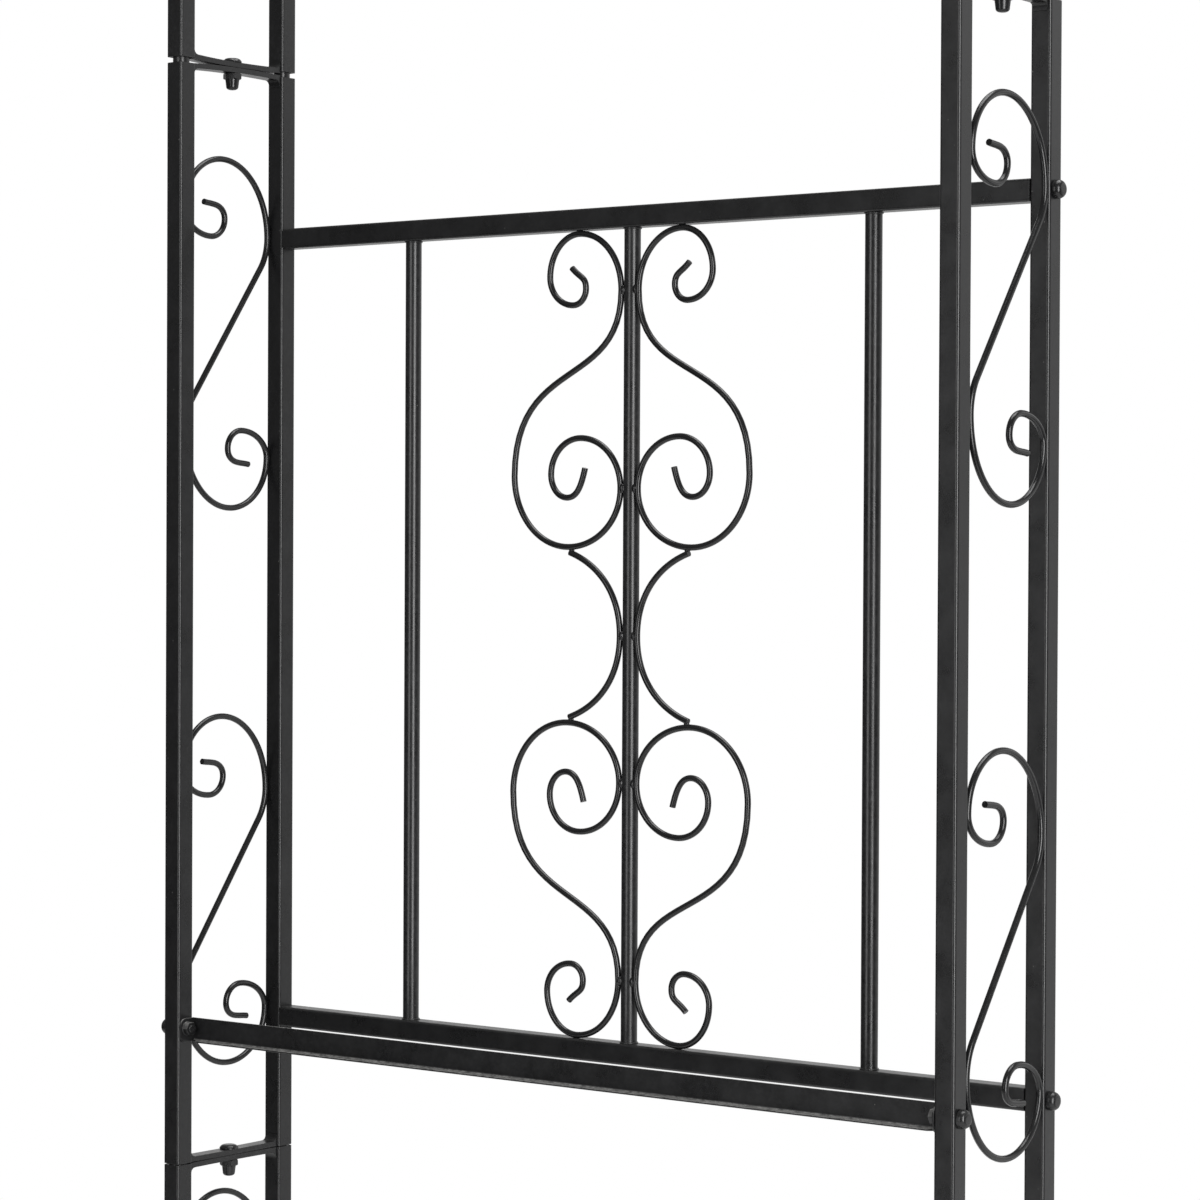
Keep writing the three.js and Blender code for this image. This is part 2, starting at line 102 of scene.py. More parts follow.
class ArchSizes(bpy.types.PropertyGroup):
    """Sizes of the parts of the arch"""

    tube_side: length_setting("Tube side", "Side of the square tube", 22)
    tube_wall: length_setting("Tube wall", "Wall of the square tube", 1.2)
    tube_corner: length_setting("Tube corner", "Radius of the tube's rounded corners", 2.8)
    joint_gap: length_setting("Joint gap", "Gap between the tubes of two sections", 6)
    closed_gap: length_setting("Closed gap", "The same at the lower joints, which the weight closes", 1.2)
    arch_straight: length_setting("Arch straight", "How far the arch rises before it bends", 98.5)
    spigot_diameter: length_setting("Spigot", "Diameter of the round spigots in the joints", 17.6)
    spigot_wall: length_setting("Spigot wall", "Wall of the spigots", 1.5)
    spigot_reach: length_setting("Spigot reach", "How far a spigot enters the next tube", 34)
    apex_spigot_reach: length_setting("Apex spigot reach", "The same in the bent tubes at the top", 15)
    plug_depth: length_setting("Plug depth", "Depth of the plug that holds a spigot", 8)
    foot_cap: length_setting("Foot cap", "Thickness of the plate that closes a foot", 3)
    bar_width: length_setting("Cross bar width", "Width of the flat cross bars", 16)
    bar_thickness: length_setting("Cross bar thickness", "Thickness of the flat cross bars", 5.5)
    bar_slack: length_setting("Cross bar slack", "Gap between two cross bars at their bolt", 0.4)
    bar_near_bow: length_setting("Near bow", "How far a cross bar's near end is bent off its neighbour", 2.2)
    bar_far_bow: length_setting("Far bow", "How far a cross bar's far end is bent off its neighbour", 1.0)
    bar_fillet: length_setting("Cross bar weld", "Reach of the weld fillets on the cross bars", 7.5)
    fit_gap: length_setting("Fit gap", "Slack between neighbouring pieces", 0.3)
    wire: length_setting("Wire", "Diameter of the bare scroll wire", 6)
    wire_coat: length_setting("Wire coat", "Thickness of the coat on the scroll wire", 0.25)
    leg_scroll: length_setting("Leg scroll", "Height of a leg's scroll between the middles of its wire", 379)
    heart_reach: length_setting("Heart reach", "How far the hearts reach from the middle of the panel", 151)
    heart_foot: length_setting("Heart foot", "How far the hearts begin from the panel's middle", 91)
    wire_forward: length_setting("Wire forward", "How far the panel's wires lie before its bars' axes", 4)
    link_reach: length_setting("Link reach", "How far the ends of the link wires are from the middle", 76.5)
    link_rise: length_setting("Link rise", "Half the height of the link wires", 85.2)
    round_bar: length_setting("Round bar", "Diameter of the panel's round bars", 17)
    weld: length_setting("Weld", "Width of a weld bead", 3.4)
    rail_steel: length_setting("Front rail steel", "Thickness of the folded front rail", 1.8)
    rail_flange: length_setting("Front rail flange", "How far the front rail's flange comes forwards", 10)
    rail_relief: length_setting("Flange relief", "How far the flange ends before the rail does", 4)
    rail_mitre: length_setting("Flange mitre", "How far the flange's sloping ends run in", 10)
    rail_fold: length_setting("Fold", "Inner radius of the front rail's fold", 2)
    end_plate: length_setting("End plate", "Thickness of the front rail's end plates", 2)
    weld_nut: length_setting("Weld nut", "Width over its corners of the nut on an end plate", 15)
    weld_nut_height: length_setting("Weld nut height", "Height of the nut on an end plate", 6.5)
    rail_head: length_setting("Rail bolt head", "Diameter of the rail bolts' heads", 18)
    rail_head_height: length_setting("Rail head height", "Height of the rail bolts' heads", 8.5)
    rail_head_wall: length_setting("Rail head wall", "Height at which a rail bolt's dome begins", 3.6)
    joint_head: length_setting("Joint bolt head", "Diameter of the joint bolts' low heads", 20.6)
    joint_head_height: length_setting("Joint head height", "Height of the joint bolts' heads", 4.6)
    joint_head_wall: length_setting("Joint head wall", "Height at which a joint bolt's dome begins", 0.8)
    bolt_shank: length_setting("Bolt shank", "Diameter of the bolts", 8)
    nut_corners: length_setting("Cap nut", "Width of a cap nut over its corners", 20.4)
    nut_barrel: length_setting("Cap nut barrel", "Diameter of a cap nut's barrel at its hexagon", 16)
    nut_tip: length_setting("Cap nut tip", "Diameter of a cap nut's barrel before its round end", 13.4)
    nut_hexagon: length_setting("Cap nut hexagon", "Height of a cap nut's hexagon", 6.5)
    nut_height: length_setting("Cap nut height", "Height of a cap nut with its round end", 18)
    soft_edge: length_setting("Soft edge", "Rounding of cut edges under the coat", 0.35)


class ArchFinish(bpy.types.PropertyGroup):
    """Colours and gloss of the coat"""

    coat_colour: colour_setting("Coat", "Colour of the powder coat", (0.0050, 0.0050, 0.0053))
    coat_worn: colour_setting("Thin coat", "Colour where the coat is thin on an edge", (0.055, 0.055, 0.057))
    # The dust colour is also painted top light: faces that look up are blended towards it
    coat_dust_and_top_light: colour_setting("Dust", "Colour of the dust that settles on the coat", (0.21, 0.208, 0.203))
    coat_roughness: share_setting("Coat roughness", "Roughness of the satin coat", 0.29)
    wire_roughness: share_setting("Wire roughness", "Roughness of the coat on the scroll wires", 0.21)
    fastener_colour: colour_setting("Fasteners", "Colour of the bolts and cap nuts", (0.0055, 0.0055, 0.0058))
    fastener_roughness: share_setting("Fastener roughness", "Roughness of the bolts and cap nuts", 0.26)
    floor_colour: colour_setting("Floor", "Colour of the studio floor", (0.80, 0.80, 0.80))


class StudioSettings(bpy.types.PropertyGroup):
    """Camera and lamps"""

    lens: FloatProperty(name="Lens", description="Focal length in millimetres", default=108.99, min=1)
    camera_place: FloatVectorProperty(
        name="Camera", description="Where the camera stands", default=(2.2546, -2.8820, 1.1360), size=3,
        subtype="TRANSLATION", unit="LENGTH")
    camera_turn: angle_setting("Turn", "How far the camera looks to the left", 37.775)
    camera_dip: angle_setting("Dip", "How far the camera looks down", 0.825)
    camera_roll: angle_setting("Roll", "How far the camera leans", 0.264)
    right_lamp: power_setting("Right lamp", "Power of the lamp on the right", 120)
    front_lamp: power_setting("Front lamp", "Power of the lamp in front", 46)
    top_lamp: power_setting("Top lamp", "Power of the lamp overhead", 110)


def sizes():
    return bpy.context.scene.arch_sizes


def finish_settings():
    return bpy.context.scene.arch_finish


def studio():
    return bpy.context.scene.arch_studio


# Work by hand: selecting, shaping and placing


def select_only(*pieces):
    if bpy.context.mode != "OBJECT":
        bpy.ops.object.mode_set(mode="OBJECT")
    bpy.ops.object.select_all(action="DESELECT")
    for piece in pieces:
        piece.select_set(True)
    if pieces:
        bpy.context.view_layer.objects.active = pieces[0]


@contextmanager
def shaping(piece, kind="FACE"):
    """Edit mode on one piece, with nothing selected"""
    select_only(piece)
    bpy.ops.object.mode_set(mode="EDIT")
    bpy.ops.mesh.select_mode(type=kind)
    bpy.ops.mesh.select_all(action="DESELECT")
    yield
    bpy.ops.object.mode_set(mode="OBJECT")


def pick(kind, test):
    """Selects those vertices, edges or faces of the piece in edit mode that pass a test"""
    bpy.ops.mesh.select_mode(type=kind)
    bpy.ops.mesh.select_all(action="DESELECT")
    mesh = bpy.context.edit_object.data
    form = bmesh.from_edit_mesh(mesh)
    form.normal_update()
    parts = {"VERT": form.verts, "EDGE": form.edges, "FACE": form.faces}[kind]
    for part in parts:
        if test(part):
            part.select_set(True)
    form.select_flush_mode()
    bmesh.update_edit_mesh(mesh)


def is_at(value, place):
    return abs(value - place) < SAME_PLACE


def faces_along(face, axis):
    return abs(face.normal.dot(axis)) > FACES_ALONG


def runs_along(edge, axis):
    way = (edge.verts[1].co - edge.verts[0].co).normalized()
    return abs(way.dot(axis)) > RUNS_ALONG


def is_rim(edge, axis):
    """An edge between an end face and a face beside it"""
    ends = [face for face in edge.link_faces if faces_along(face, axis)]
    sides = [face for face in edge.link_faces if abs(face.normal.dot(axis)) < FACES_ACROSS]
    return len(edge.link_faces) == 2 and len(ends) == len(sides) == 1


def newest(name):
    piece = bpy.context.object
    piece.name = name
    piece.data.name = name
    return piece


def set_down(piece):
    """The piece's place goes into its mesh, and its object stays at the origin"""
    select_only(piece)
    bpy.ops.object.transform_apply(location=True, rotation=True, scale=True)


def set_at(piece, place):
    piece.location = place
    set_down(piece)


def lay_down(piece, place, turn=1):
    """Turns an upright piece so that it lies along X, and sets it in its place"""
    piece.matrix_world = Matrix.Translation(place) @ Matrix.Rotation(turn * QUARTER, 4, "Y")
    set_down(piece)


def add_block(name, low, high):
    low, high = Vector(low), Vector(high)
    select_only()
    bpy.ops.mesh.primitive_cube_add(size=1, location=(low + high) / 2)
    piece = newest(name)
    piece.scale = high - low
    set_down(piece)
    return piece


def add_rod(name, radius, low, high, sides=48):
    """A rod along Z between two heights"""
    select_only()
    bpy.ops.mesh.primitive_cylinder_add(
        vertices=sides, radius=radius, depth=high - low, location=(0, 0, (low + high) / 2))
    piece = newest(name)
    set_down(piece)
    return piece


def bolt_drill(name):
    """An upright rod that cuts a bolt hole through any tube or bar"""
    reach = mm(20)
    return add_rod(name, sizes().bolt_shank / 2 + sizes().fit_gap, -reach, reach, sides=32)


def soften(piece, test, offset, segments=2):
    with shaping(piece, "EDGE"):
        pick("EDGE", test)
        bpy.ops.mesh.bevel(offset=offset, segments=segments, affect="EDGES", clamp_overlap=True)


def is_corner(edge):
    return len(edge.link_faces) == 2 and edge.calc_face_angle(0) > CORNER_ANGLE


def clean(piece):
    with shaping(piece):
        bpy.ops.mesh.select_all(action="SELECT")
        bpy.ops.mesh.remove_doubles(threshold=SAME_VERTEX)
        bpy.ops.mesh.normals_make_consistent(inside=False)


def apply_modifier(piece, kind, **values):
    select_only(piece)
    modifier = piece.modifiers.new(kind.title(), kind)
    for key, value in values.items():
        setattr(modifier, key, value)
    bpy.ops.object.modifier_apply(modifier=modifier.name)


def hollow(piece, wall):
    """A wall of the given thickness inwards from an open skin"""
    apply_modifier(piece, "SOLIDIFY", thickness=wall, offset=-1, use_even_offset=True)


def cut(piece, cutter):
    apply_modifier(piece, "BOOLEAN", operation="DIFFERENCE", object=cutter, solver="EXACT")
    bpy.data.objects.remove(cutter, do_unlink=True)


def join(piece, *others):
    select_only(piece, *others)
    bpy.ops.object.join()
    return piece


def copy_of(piece, name, place=(0, 0, 0), turn=None):
    """A copy with its own mesh, turned about the origin and then set in its place"""
    select_only(piece)
    bpy.ops.object.duplicate(linked=False)
    copy = newest(name)
    copy.matrix_world = Matrix.Translation(place) @ (turn or Matrix.Identity(4))
    set_down(copy)
    return copy


def discard(*pieces):
    for piece in pieces:
        bpy.data.objects.remove(piece, do_unlink=True)


def fit(piece, node, material, angle=35):
    """The finished piece is shaded, takes its coat, is hung on the root body, and the frame's node in its
    place is hidden
    """
    select_only(piece)
    bpy.ops.object.shade_smooth_by_angle(angle=math.radians(angle))
    apply_modifier(piece, "WEIGHTED_NORMAL", keep_sharp=True, weight=60)
    piece.data.materials.clear()
    piece.data.materials.append(material)
    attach(piece, "root")
    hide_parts(node)


def box_of(node):
    low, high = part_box(node)
    return Vector(low), Vector(high)


def middle_of(node):
    low, high = box_of(node)
    return (low + high) / 2


def open_ends(piece, axis):
    """Takes away the two end faces of a block or rod that runs along an axis"""
    with shaping(piece):
        pick("FACE", lambda face: faces_along(face, axis))
        bpy.ops.mesh.delete(type="ONLY_FACE")


# Square tubes

WALL_OVERLAP_SHARE = 0.6


def tube_shell(name, low, high, axis):
    """A hollow square tube that fills a box and runs along an axis"""
    piece = add_block(name, low, high)
    open_ends(piece, axis)
    with shaping(piece):
        pick("EDGE", lambda edge: runs_along(edge, axis))
        bpy.ops.mesh.bevel(offset=sizes().tube_corner, segments=6, affect="EDGES")
    hollow(piece, sizes().tube_wall)
    soften(piece, lambda edge: is_rim(edge, axis), sizes().soft_edge)
    return piece


def spigot_neck(name, rise):
    """A plug with a round hollow spigot, for a tube whose mouth is at the origin and opens upwards"""
    s = sizes()
    stub = add_rod(name, s.spigot_diameter / 2, -s.plug_depth / 2, rise)
    open_ends(stub, UP)
    hollow(stub, s.spigot_wall)
    spigot_edge = s.soft_edge * 1.5
    soften(stub, lambda edge: is_rim(edge, UP), spigot_edge, segments=3)
    half = s.tube_side / 2 - s.tube_wall
    recess, seam_width, seam_depth = mm(0.4), mm(0.8), mm(0.3)
    plug = add_block(f"{name}_plug", (-half, -half, -s.plug_depth), (half, half, -recess))
    soften(plug, is_corner, spigot_edge)
    seam = weld_ring(f"{name}_seam", s.spigot_diameter / 2, seam_width)
    set_at(seam, (0, 0, -seam_depth))
    return join(stub, plug, seam)


def upright_post(node, has_foot, bolt_nodes=()):
    """A post with a spigot at its top, and with a foot plate or bolt holes"""
    s = sizes()
    low, high = box_of(node)
    mouth = high.z - s.spigot_reach - s.joint_gap
    closing = (s.joint_gap - s.closed_gap) / 2
    if has_foot:
        mouth += closing
    else:
        low.z -= closing
    piece = tube_shell(f"{node}_steel", low, (high.x, high.y, mouth), UP)
    middle = (low + high) / 2
    for bolt in bolt_nodes:
        drill = bolt_drill("drill")
        lay_down(drill, (middle.x, middle.y, middle_of(bolt).z))
        cut(piece, drill)
    neck = spigot_neck("neck", high.z - mouth)
    set_at(neck, (middle.x, middle.y, mouth))
    parts = [neck]
    if has_foot:
        half = s.tube_side / 2 - s.tube_wall * WALL_OVERLAP_SHARE
        plate = add_block(
            "foot_plate", (middle.x - half, middle.y - half, 0),
            (middle.x + half, middle.y + half, s.foot_cap))
        soften(plate, lambda edge: is_corner(edge) and runs_along(edge, UP), s.tube_wall, segments=3)
        soften(plate, is_corner, s.soft_edge)
        parts.append(plate)
    return join(piece, *parts)


def bent_tube(node, side, has_spigot):
    """Half of the arch: upright, then bent over to the top"""
    s = sizes()
    low, high = box_of(node)
    half = s.tube_side / 2
    place = Vector((side * (max(abs(low.x), abs(high.x)) - half), (low.y + high.y) / 2, low.z))
    rise = s.arch_straight - s.joint_gap / 2
    select_only()
    bpy.ops.mesh.primitive_plane_add(size=s.tube_side, location=place)
    piece = newest(f"{node}_steel")
    set_down(piece)
    centre = Vector((side * s.joint_gap / 2, place.y, place.z + rise))
    with shaping(piece, "VERT"):
        bpy.ops.mesh.select_all(action="SELECT")
        bpy.ops.mesh.bevel(offset=s.tube_corner, segments=6, affect="VERTICES")
        bpy.ops.mesh.select_mode(type="FACE")
        bpy.ops.mesh.select_all(action="SELECT")
        bpy.ops.mesh.extrude_region_move(TRANSFORM_OT_translate={"value": (0, 0, rise)})
        bpy.ops.mesh.spin(steps=40, angle=side * QUARTER, center=centre, axis=(0, 1, 0))
        bpy.ops.mesh.select_all(action="SELECT")
        bpy.ops.mesh.remove_doubles(threshold=SAME_VERTEX)
        bpy.ops.mesh.normals_make_consistent(inside=False)
        pick("FACE", lambda face: len(face.verts) > 4)
        bpy.ops.mesh.delete(type="ONLY_FACE")
    hollow(piece, s.tube_wall)
    if has_spigot:
        neck = spigot_neck("neck", s.joint_gap + s.apex_spigot_reach)
        lay_down(neck, (side * s.joint_gap / 2, place.y, high.z - half), -side)
        join(piece, neck)
    return piece


def square_rail(node):
    """A rail along X with a threaded insert in each end"""
    s = sizes()
    low, high = box_of(node)
    piece = tube_shell(f"{node}_steel", low, high, ALONG)
    inserts = []
    margin = s.tube_wall * WALL_OVERLAP_SHARE
    recess, depth = mm(0.3), mm(16)
    for side in (-1, 1):
        end = side * (high.x - recess)
        inner = side * (high.x - depth)
        block = add_block(
            "insert", (min(end, inner), low.y + margin, low.z + margin),
            (max(end, inner), high.y - margin, high.z - margin))
        soften(block, is_corner, s.soft_edge)
        inserts.append(block)
    return join(piece, *inserts)


# Welds


def roughen(piece, scale, depth):
    """The uneven skin of a weld"""
    texture = bpy.data.textures.new("weld skin", "CLOUDS")
    texture.noise_scale = scale
    texture.noise_depth = 1
    apply_modifier(piece, "DISPLACE", texture=texture, strength=depth, mid_level=0.5, texture_coords="LOCAL")
    bpy.data.textures.remove(texture)


def weld_ring(name, radius, width):
    """A weld bead round a bar or spigot, at height 0"""
    select_only()
    bpy.ops.mesh.primitive_torus_add(
        major_segments=64, minor_segments=12, major_radius=radius, minor_radius=width)
    ring = newest(name)
    roughen(ring, scale=mm(2.4), depth=mm(0.5))
    return ring


def weld_bead(name, place, size):
    """A short bead that fills the groove between two pieces"""
    select_only()
    bpy.ops.mesh.primitive_uv_sphere_add(segments=28, ring_count=18, radius=0.5)
    bead = newest(name)
    bead.scale = size
    set_at(bead, place)
    roughen(bead, scale=mm(1.9), depth=mm(0.7))
    return bead


# Scroll wires, drawn flat from tables of shares with headings, as the frame's wires are

LEG_DIAGONAL_SHARES = (0.083, 0.303)
LEG_CURL_SHARES = (
    (0, 0.214, 270),
    (0.552, 0, 0),
    (1, 0.147, 90),
    (0.689, 0.224, 180),
    (0.523, 0.171, 270),
    (0.642, 0.132, 352),
    (0.775, 0.127, 352),
)
RAIL_CURL_SHARES = (
    (0, 0.814, 90),
    (0.39, 1, 0),
    (0.667, 0.866, 270),
    (0.446, 0.773, 180),
    (0.329, 0.824, 90),
    (0.46, 0.892, 45),
)
HEART_CURL_SHARES = (
    (1, 0.229, 270),
    (0.486, 0, 180),
    (0, 0.186, 90),
    (0.376, 0.348, 0),
    (0.65, 0.233, 270),
    (0.498, 0.158, 180),
    (0.33, 0.252, 105),
)
QUARTER_PULL = (0.5523, 0.5523)
SLIGHT_PULL = (0.35, 0.35)
SWEEP_PULL = (0.552, 0.677)
LINK_PULL = (0.46, 0.50)
LINK_HEADINGS = (198, 270)
LEG_WELD_SHARES = ((0, 0.214), (1, 0.147), (1, 0.786), (0, 0.853))


def station(x, y, degrees):
    angle = math.radians(degrees)
    return Vector((x, y)), Vector((math.cos(angle), math.sin(angle)))


def stations_from(shares, width, height):
    return [station(x * width, y * height, degrees) for x, y, degrees in shares]


def bends(stations, pull=QUARTER_PULL):
    """Bends from station to station, each as start, start handle, end handle and end"""
    drawn = []
    for (start, leave), (end, arrive) in zip(stations, stations[1:]):
        chord = end - start
        first = start + leave * pull[0] * chord.dot(leave)
        second = end - arrive * pull[1] * chord.dot(arrive)
        drawn.append((start, first, second, end))
    return drawn


def quadratic(start, pull, end):
    """A quadratic bend as the four points of a cubic one"""
    return start, start.lerp(pull, 2 / 3), end.lerp(pull, 2 / 3), end


def straight(start, end):
    return start, start.lerp(end, 1 / 3), start.lerp(end, 2 / 3), end


def backwards(drawn):
    return [tuple(reversed(bend)) for bend in reversed(drawn)]


def heart_bends(width, height):
    """Half a heart, from its curl at the rail to its curl at the middle of the panel"""
    rail_curl = stations_from(RAIL_CURL_SHARES, width, height)
    heart_curl = stations_from(HEART_CURL_SHARES, width, height)
    start, heading = rail_curl[0]
    sweep = bends([(start, -heading), heart_curl[0]], SWEEP_PULL)
    return backwards(bends(rail_curl)) + sweep + bends(heart_curl)


def link_bends(seat):
    """A link wire, from its upper end past the centre bar to its lower end"""
    end = station(sizes().link_reach, sizes().link_rise, LINK_HEADINGS[0])
    half = bends([end, station(seat, 0, LINK_HEADINGS[1])], LINK_PULL)
    return half + [tuple(Vector((x, -y)) for x, y in bend) for bend in backwards(half)]


def draw_wire(name, drawn, to_space):
    """A round wire along bends, with softened cut ends"""
    s = sizes()
    select_only()
    bpy.ops.curve.primitive_bezier_curve_add()
    wire = newest(name)
    spline = wire.data.splines[0]
    spline.bezier_points.add(len(drawn) - 1)
    ends = [bend[0] for bend in drawn] + [drawn[-1][3]]
    arrivals = [None] + [bend[2] for bend in drawn]
    leaves = [bend[1] for bend in drawn] + [None]
    for point, at, arrival, leave in zip(spline.bezier_points, ends, arrivals, leaves):
        arrival = arrival or at * 2 - leave
        leave = leave or at * 2 - arrival
        point.handle_left_type = point.handle_right_type = "FREE"
        point.co, point.handle_left, point.handle_right = to_space(at), to_space(arrival), to_space(leave)
    wire.data.dimensions = "3D"
    wire.data.twist_mode = "MINIMUM"
    wire.data.resolution_u = 24
    wire.data.bevel_depth = s.wire / 2 + s.wire_coat
    wire.data.bevel_resolution = 6
    wire.data.use_fill_caps = True
    select_only(wire)
    bpy.ops.object.convert(target="MESH")
    wire = newest(name)
    set_down(wire)
    clean(wire)
    cut_edge = s.soft_edge * 1.4
    with shaping(wire):
        pick("FACE", lambda face: len(face.verts) > 4)
        bpy.ops.mesh.region_to_loop()
        bpy.ops.mesh.bevel(offset=cut_edge, segments=3, affect="EDGES")
    return wire


def leg_scroll_wire(name, height):
    """The S of a leg, drawn upright in the plane X = 0: Y from the near tube's side, Z from its bottom"""
    s = sizes()
    gap = box_of("left_lower_far_post")[0].y - box_of("left_lower_near_post")[1].y
    width = gap - s.wire - 2 * s.fit_gap
    foot = Vector((LEG_DIAGONAL_SHARES[0] * width, LEG_DIAGONAL_SHARES[1] * height))
    top = Vector((width, height))
    heading = (foot - (top - foot)).normalized()
    curl = stations_from(LEG_CURL_SHARES, width, height)
    half = bends([(foot, heading), curl[0]], SLIGHT_PULL) + bends(curl)
    other = [tuple(top - point for point in bend) for bend in half]
    near = -gap / 2 + s.fit_gap + s.wire / 2
    wire = draw_wire(
        name, backwards(other) + [straight(top - foot, foot)] + half,
        lambda point: Vector((0, near + point.x, point.y)))
    bead_size, bead_depth = (s.weld, s.weld * 1.15, mm(11)), mm(0.9)
    beads = []
    for x_share, z_share in LEG_WELD_SHARES:
        out = 2 * x_share - 1
        y = near + x_share * width + out * (s.wire / 2 - bead_depth)
        beads.append(weld_bead("bead", (0, y, z_share * height), bead_size))
    return join(wire, *beads)


def wrap_on_bend(piece, side, height):
    """Bends an upright flat scroll round the outside of its half of the arch"""
    s = sizes()
    low, high = box_of("left_arch_near_tube")
    bend_z = low.z + s.arch_straight - s.joint_gap / 2
    radius = high.z - bend_z - s.wire / 2
    centre_x = side * s.joint_gap / 2
    for vertex in piece.data.vertices:
        out, across, up = vertex.co
        angle = math.pi / 4 + (up - height / 2) / radius
        reach = radius + side * out
        vertex.co = (centre_x + side * reach * math.cos(angle), across, bend_z + reach * math.sin(angle))
    clean(piece)


class GARDENARCH_OT_leg_scrolls(bpy.types.Operator):
    """Bends the S scrolls of the legs and of the arch"""

    bl_idname = "garden_arch.leg_scrolls"
    bl_label = "Leg and arch scrolls"

    def execute(self, context):
        coat = wire_material()
        height = sizes().leg_scroll
        master = leg_scroll_wire("scroll", height)
        for name, side in SIDES:
            for place in ("lower", "middle_bottom", "middle_top"):
                node = f"{name}_{place}_scroll"
                middle = middle_of(node)
                scroll = copy_of(master, f"{node}_steel", (middle.x, 0, middle.z - height / 2))
                fit(scroll, node, coat, angle=45)
            node = f"{name}_arch_scroll"
            scroll = copy_of(master, f"{node}_steel")
            wrap_on_bend(scroll, side, height)
            fit(scroll, node, coat, angle=45)
        discard(master)
        return {"FINISHED"}


class GARDENARCH_OT_panel_scrolls(bpy.types.Operator):
    """Bends the hearts of the gate panel and the wires that link them"""

    bl_idname = "garden_arch.panel_scrolls"
    bl_label = "Panel scrolls"

    def execute(self, context):
        s = sizes()
        coat = wire_material()
        radius = s.wire / 2
        bar = middle_of("panel_centre_bar")
        plane_y = bar.y - s.wire_forward
        seat = math.sqrt((s.round_bar / 2 + s.fit_gap + radius) ** 2 - s.wire_forward ** 2)
        width = s.heart_reach - seat
        foot = s.heart_foot
        height = box_of("panel_top_rail")[0].z - s.fit_gap - radius - foot - bar.z
        drawn, link = heart_bends(width, height), link_bends(seat)
        bar_touches = (HEART_CURL_SHARES[2][1] * height, RAIL_CURL_SHARES[0][1] * height)
        rail_touch = RAIL_CURL_SHARES[1][0] * width
        bar_bead, bar_bead_inset, bar_bead_back = (mm(7.0), mm(6.8), mm(10)), mm(3.1), mm(0.6)
        rail_bead, rail_bead_rise = (mm(12), s.weld * 1.2, s.weld), mm(2.0)
        link_bead, link_bead_inset, link_bead_rise = (mm(6.5), mm(4.6), mm(3.4)), mm(2.2), mm(2.4)

        def bead_on_bar(side, z):
            place = (side * (seat - bar_bead_inset), plane_y - bar_bead_back, z)
            return weld_bead("bead", place, bar_bead)

        for name, side in SIDES:
            for level, up in (("upper", 1), ("lower", -1)):
                node = f"panel_{level}_{name}_scroll"
                heart = draw_wire(
                    f"{node}_steel", drawn,
                    lambda point: Vector((side * (seat + point.x), plane_y, bar.z + up * (foot + point.y))))
                beads = [bead_on_bar(side, bar.z + up * (foot + touch)) for touch in bar_touches]
                x = side * (seat + rail_touch)
                z = bar.z + up * (foot + height + rail_bead_rise)
                beads.append(weld_bead("bead", (x, plane_y, z), rail_bead))
                join(heart, *beads)
                clean(heart)
                fit(heart, node, coat, angle=45)
            node = f"panel_{name}_link_wire"
            wire = draw_wire(
                f"{node}_steel", link, lambda point: Vector((side * point.x, plane_y, bar.z + point.y)))
            beads = [bead_on_bar(side, bar.z)]
            for up in (1, -1):
                x = side * (s.link_reach - link_bead_inset)
                z = bar.z + up * (s.link_rise + link_bead_rise)
                beads.append(weld_bead("bead", (x, plane_y, z), link_bead))
            join(wire, *beads)
            fit(wire, node, coat, angle=45)
        return {"FINISHED"}


# Flat cross bars


def flat_bar(name, near_bow, far_bow):
    """A flat bar along Y on height 0, with its ends bent up and weld fillets on its back"""
    s = sizes()
    low, high = box_of("left_lower_joint_bar")
    half = (high.y - low.y) / 2
    inner = half - s.bar_fillet
    top = s.bar_thickness
    nose_depth, long_edge = mm(0.8), mm(0.7)

    def end(side, bow):
        """From the middle along the bottom to one end, and back along the top"""
        level = top + bow * (inner / half) ** 2
        crest = bow + top + s.bar_fillet
        tip, nose, root = side * half, side * (half - nose_depth), side * inner
        return [
            quadratic(Vector((0, 0)), Vector((tip / 2, 0)), Vector((tip, bow))),
            straight(Vector((tip, bow)), Vector((tip, crest))),
            straight(Vector((tip, crest)), Vector((nose, crest))),
            quadratic(Vector((nose, crest)), Vector((nose, level)), Vector((root, level))),
            quadratic(Vector((root, level)), Vector((root / 2, top)), Vector((0, top))),
        ]

    outline = end(1, far_bow) + backwards(end(-1, near_bow))
    select_only()
    bpy.ops.curve.primitive_bezier_curve_add()
    bar = newest(name)
    bar.data.dimensions = "2D"
    spline = bar.data.splines[0]
    spline.bezier_points.add(len(outline) - 2)
    spline.use_cyclic_u = True
    for i, point in enumerate(spline.bezier_points):
        point.handle_left_type = point.handle_right_type = "FREE"
        point.co = (*outline[i][0], 0)
        point.handle_left = (*outline[i - 1][2], 0)
        point.handle_right = (*outline[i][1], 0)
    bar.data.resolution_u = 12
    bar.data.fill_mode = "BOTH"
    bar.data.extrude = s.bar_width / 2
    select_only(bar)
    bpy.ops.object.convert(target="MESH")
    bar = newest(name)
    bar.matrix_world = Matrix(((0, 0, 1, 0), (1, 0, 0, 0), (0, 1, 0, 0), (0, 0, 0, 1)))
    set_down(bar)
    clean(bar)
    soften(bar, lambda edge: is_rim(edge, ALONG), long_edge, segments=3)
    return bar


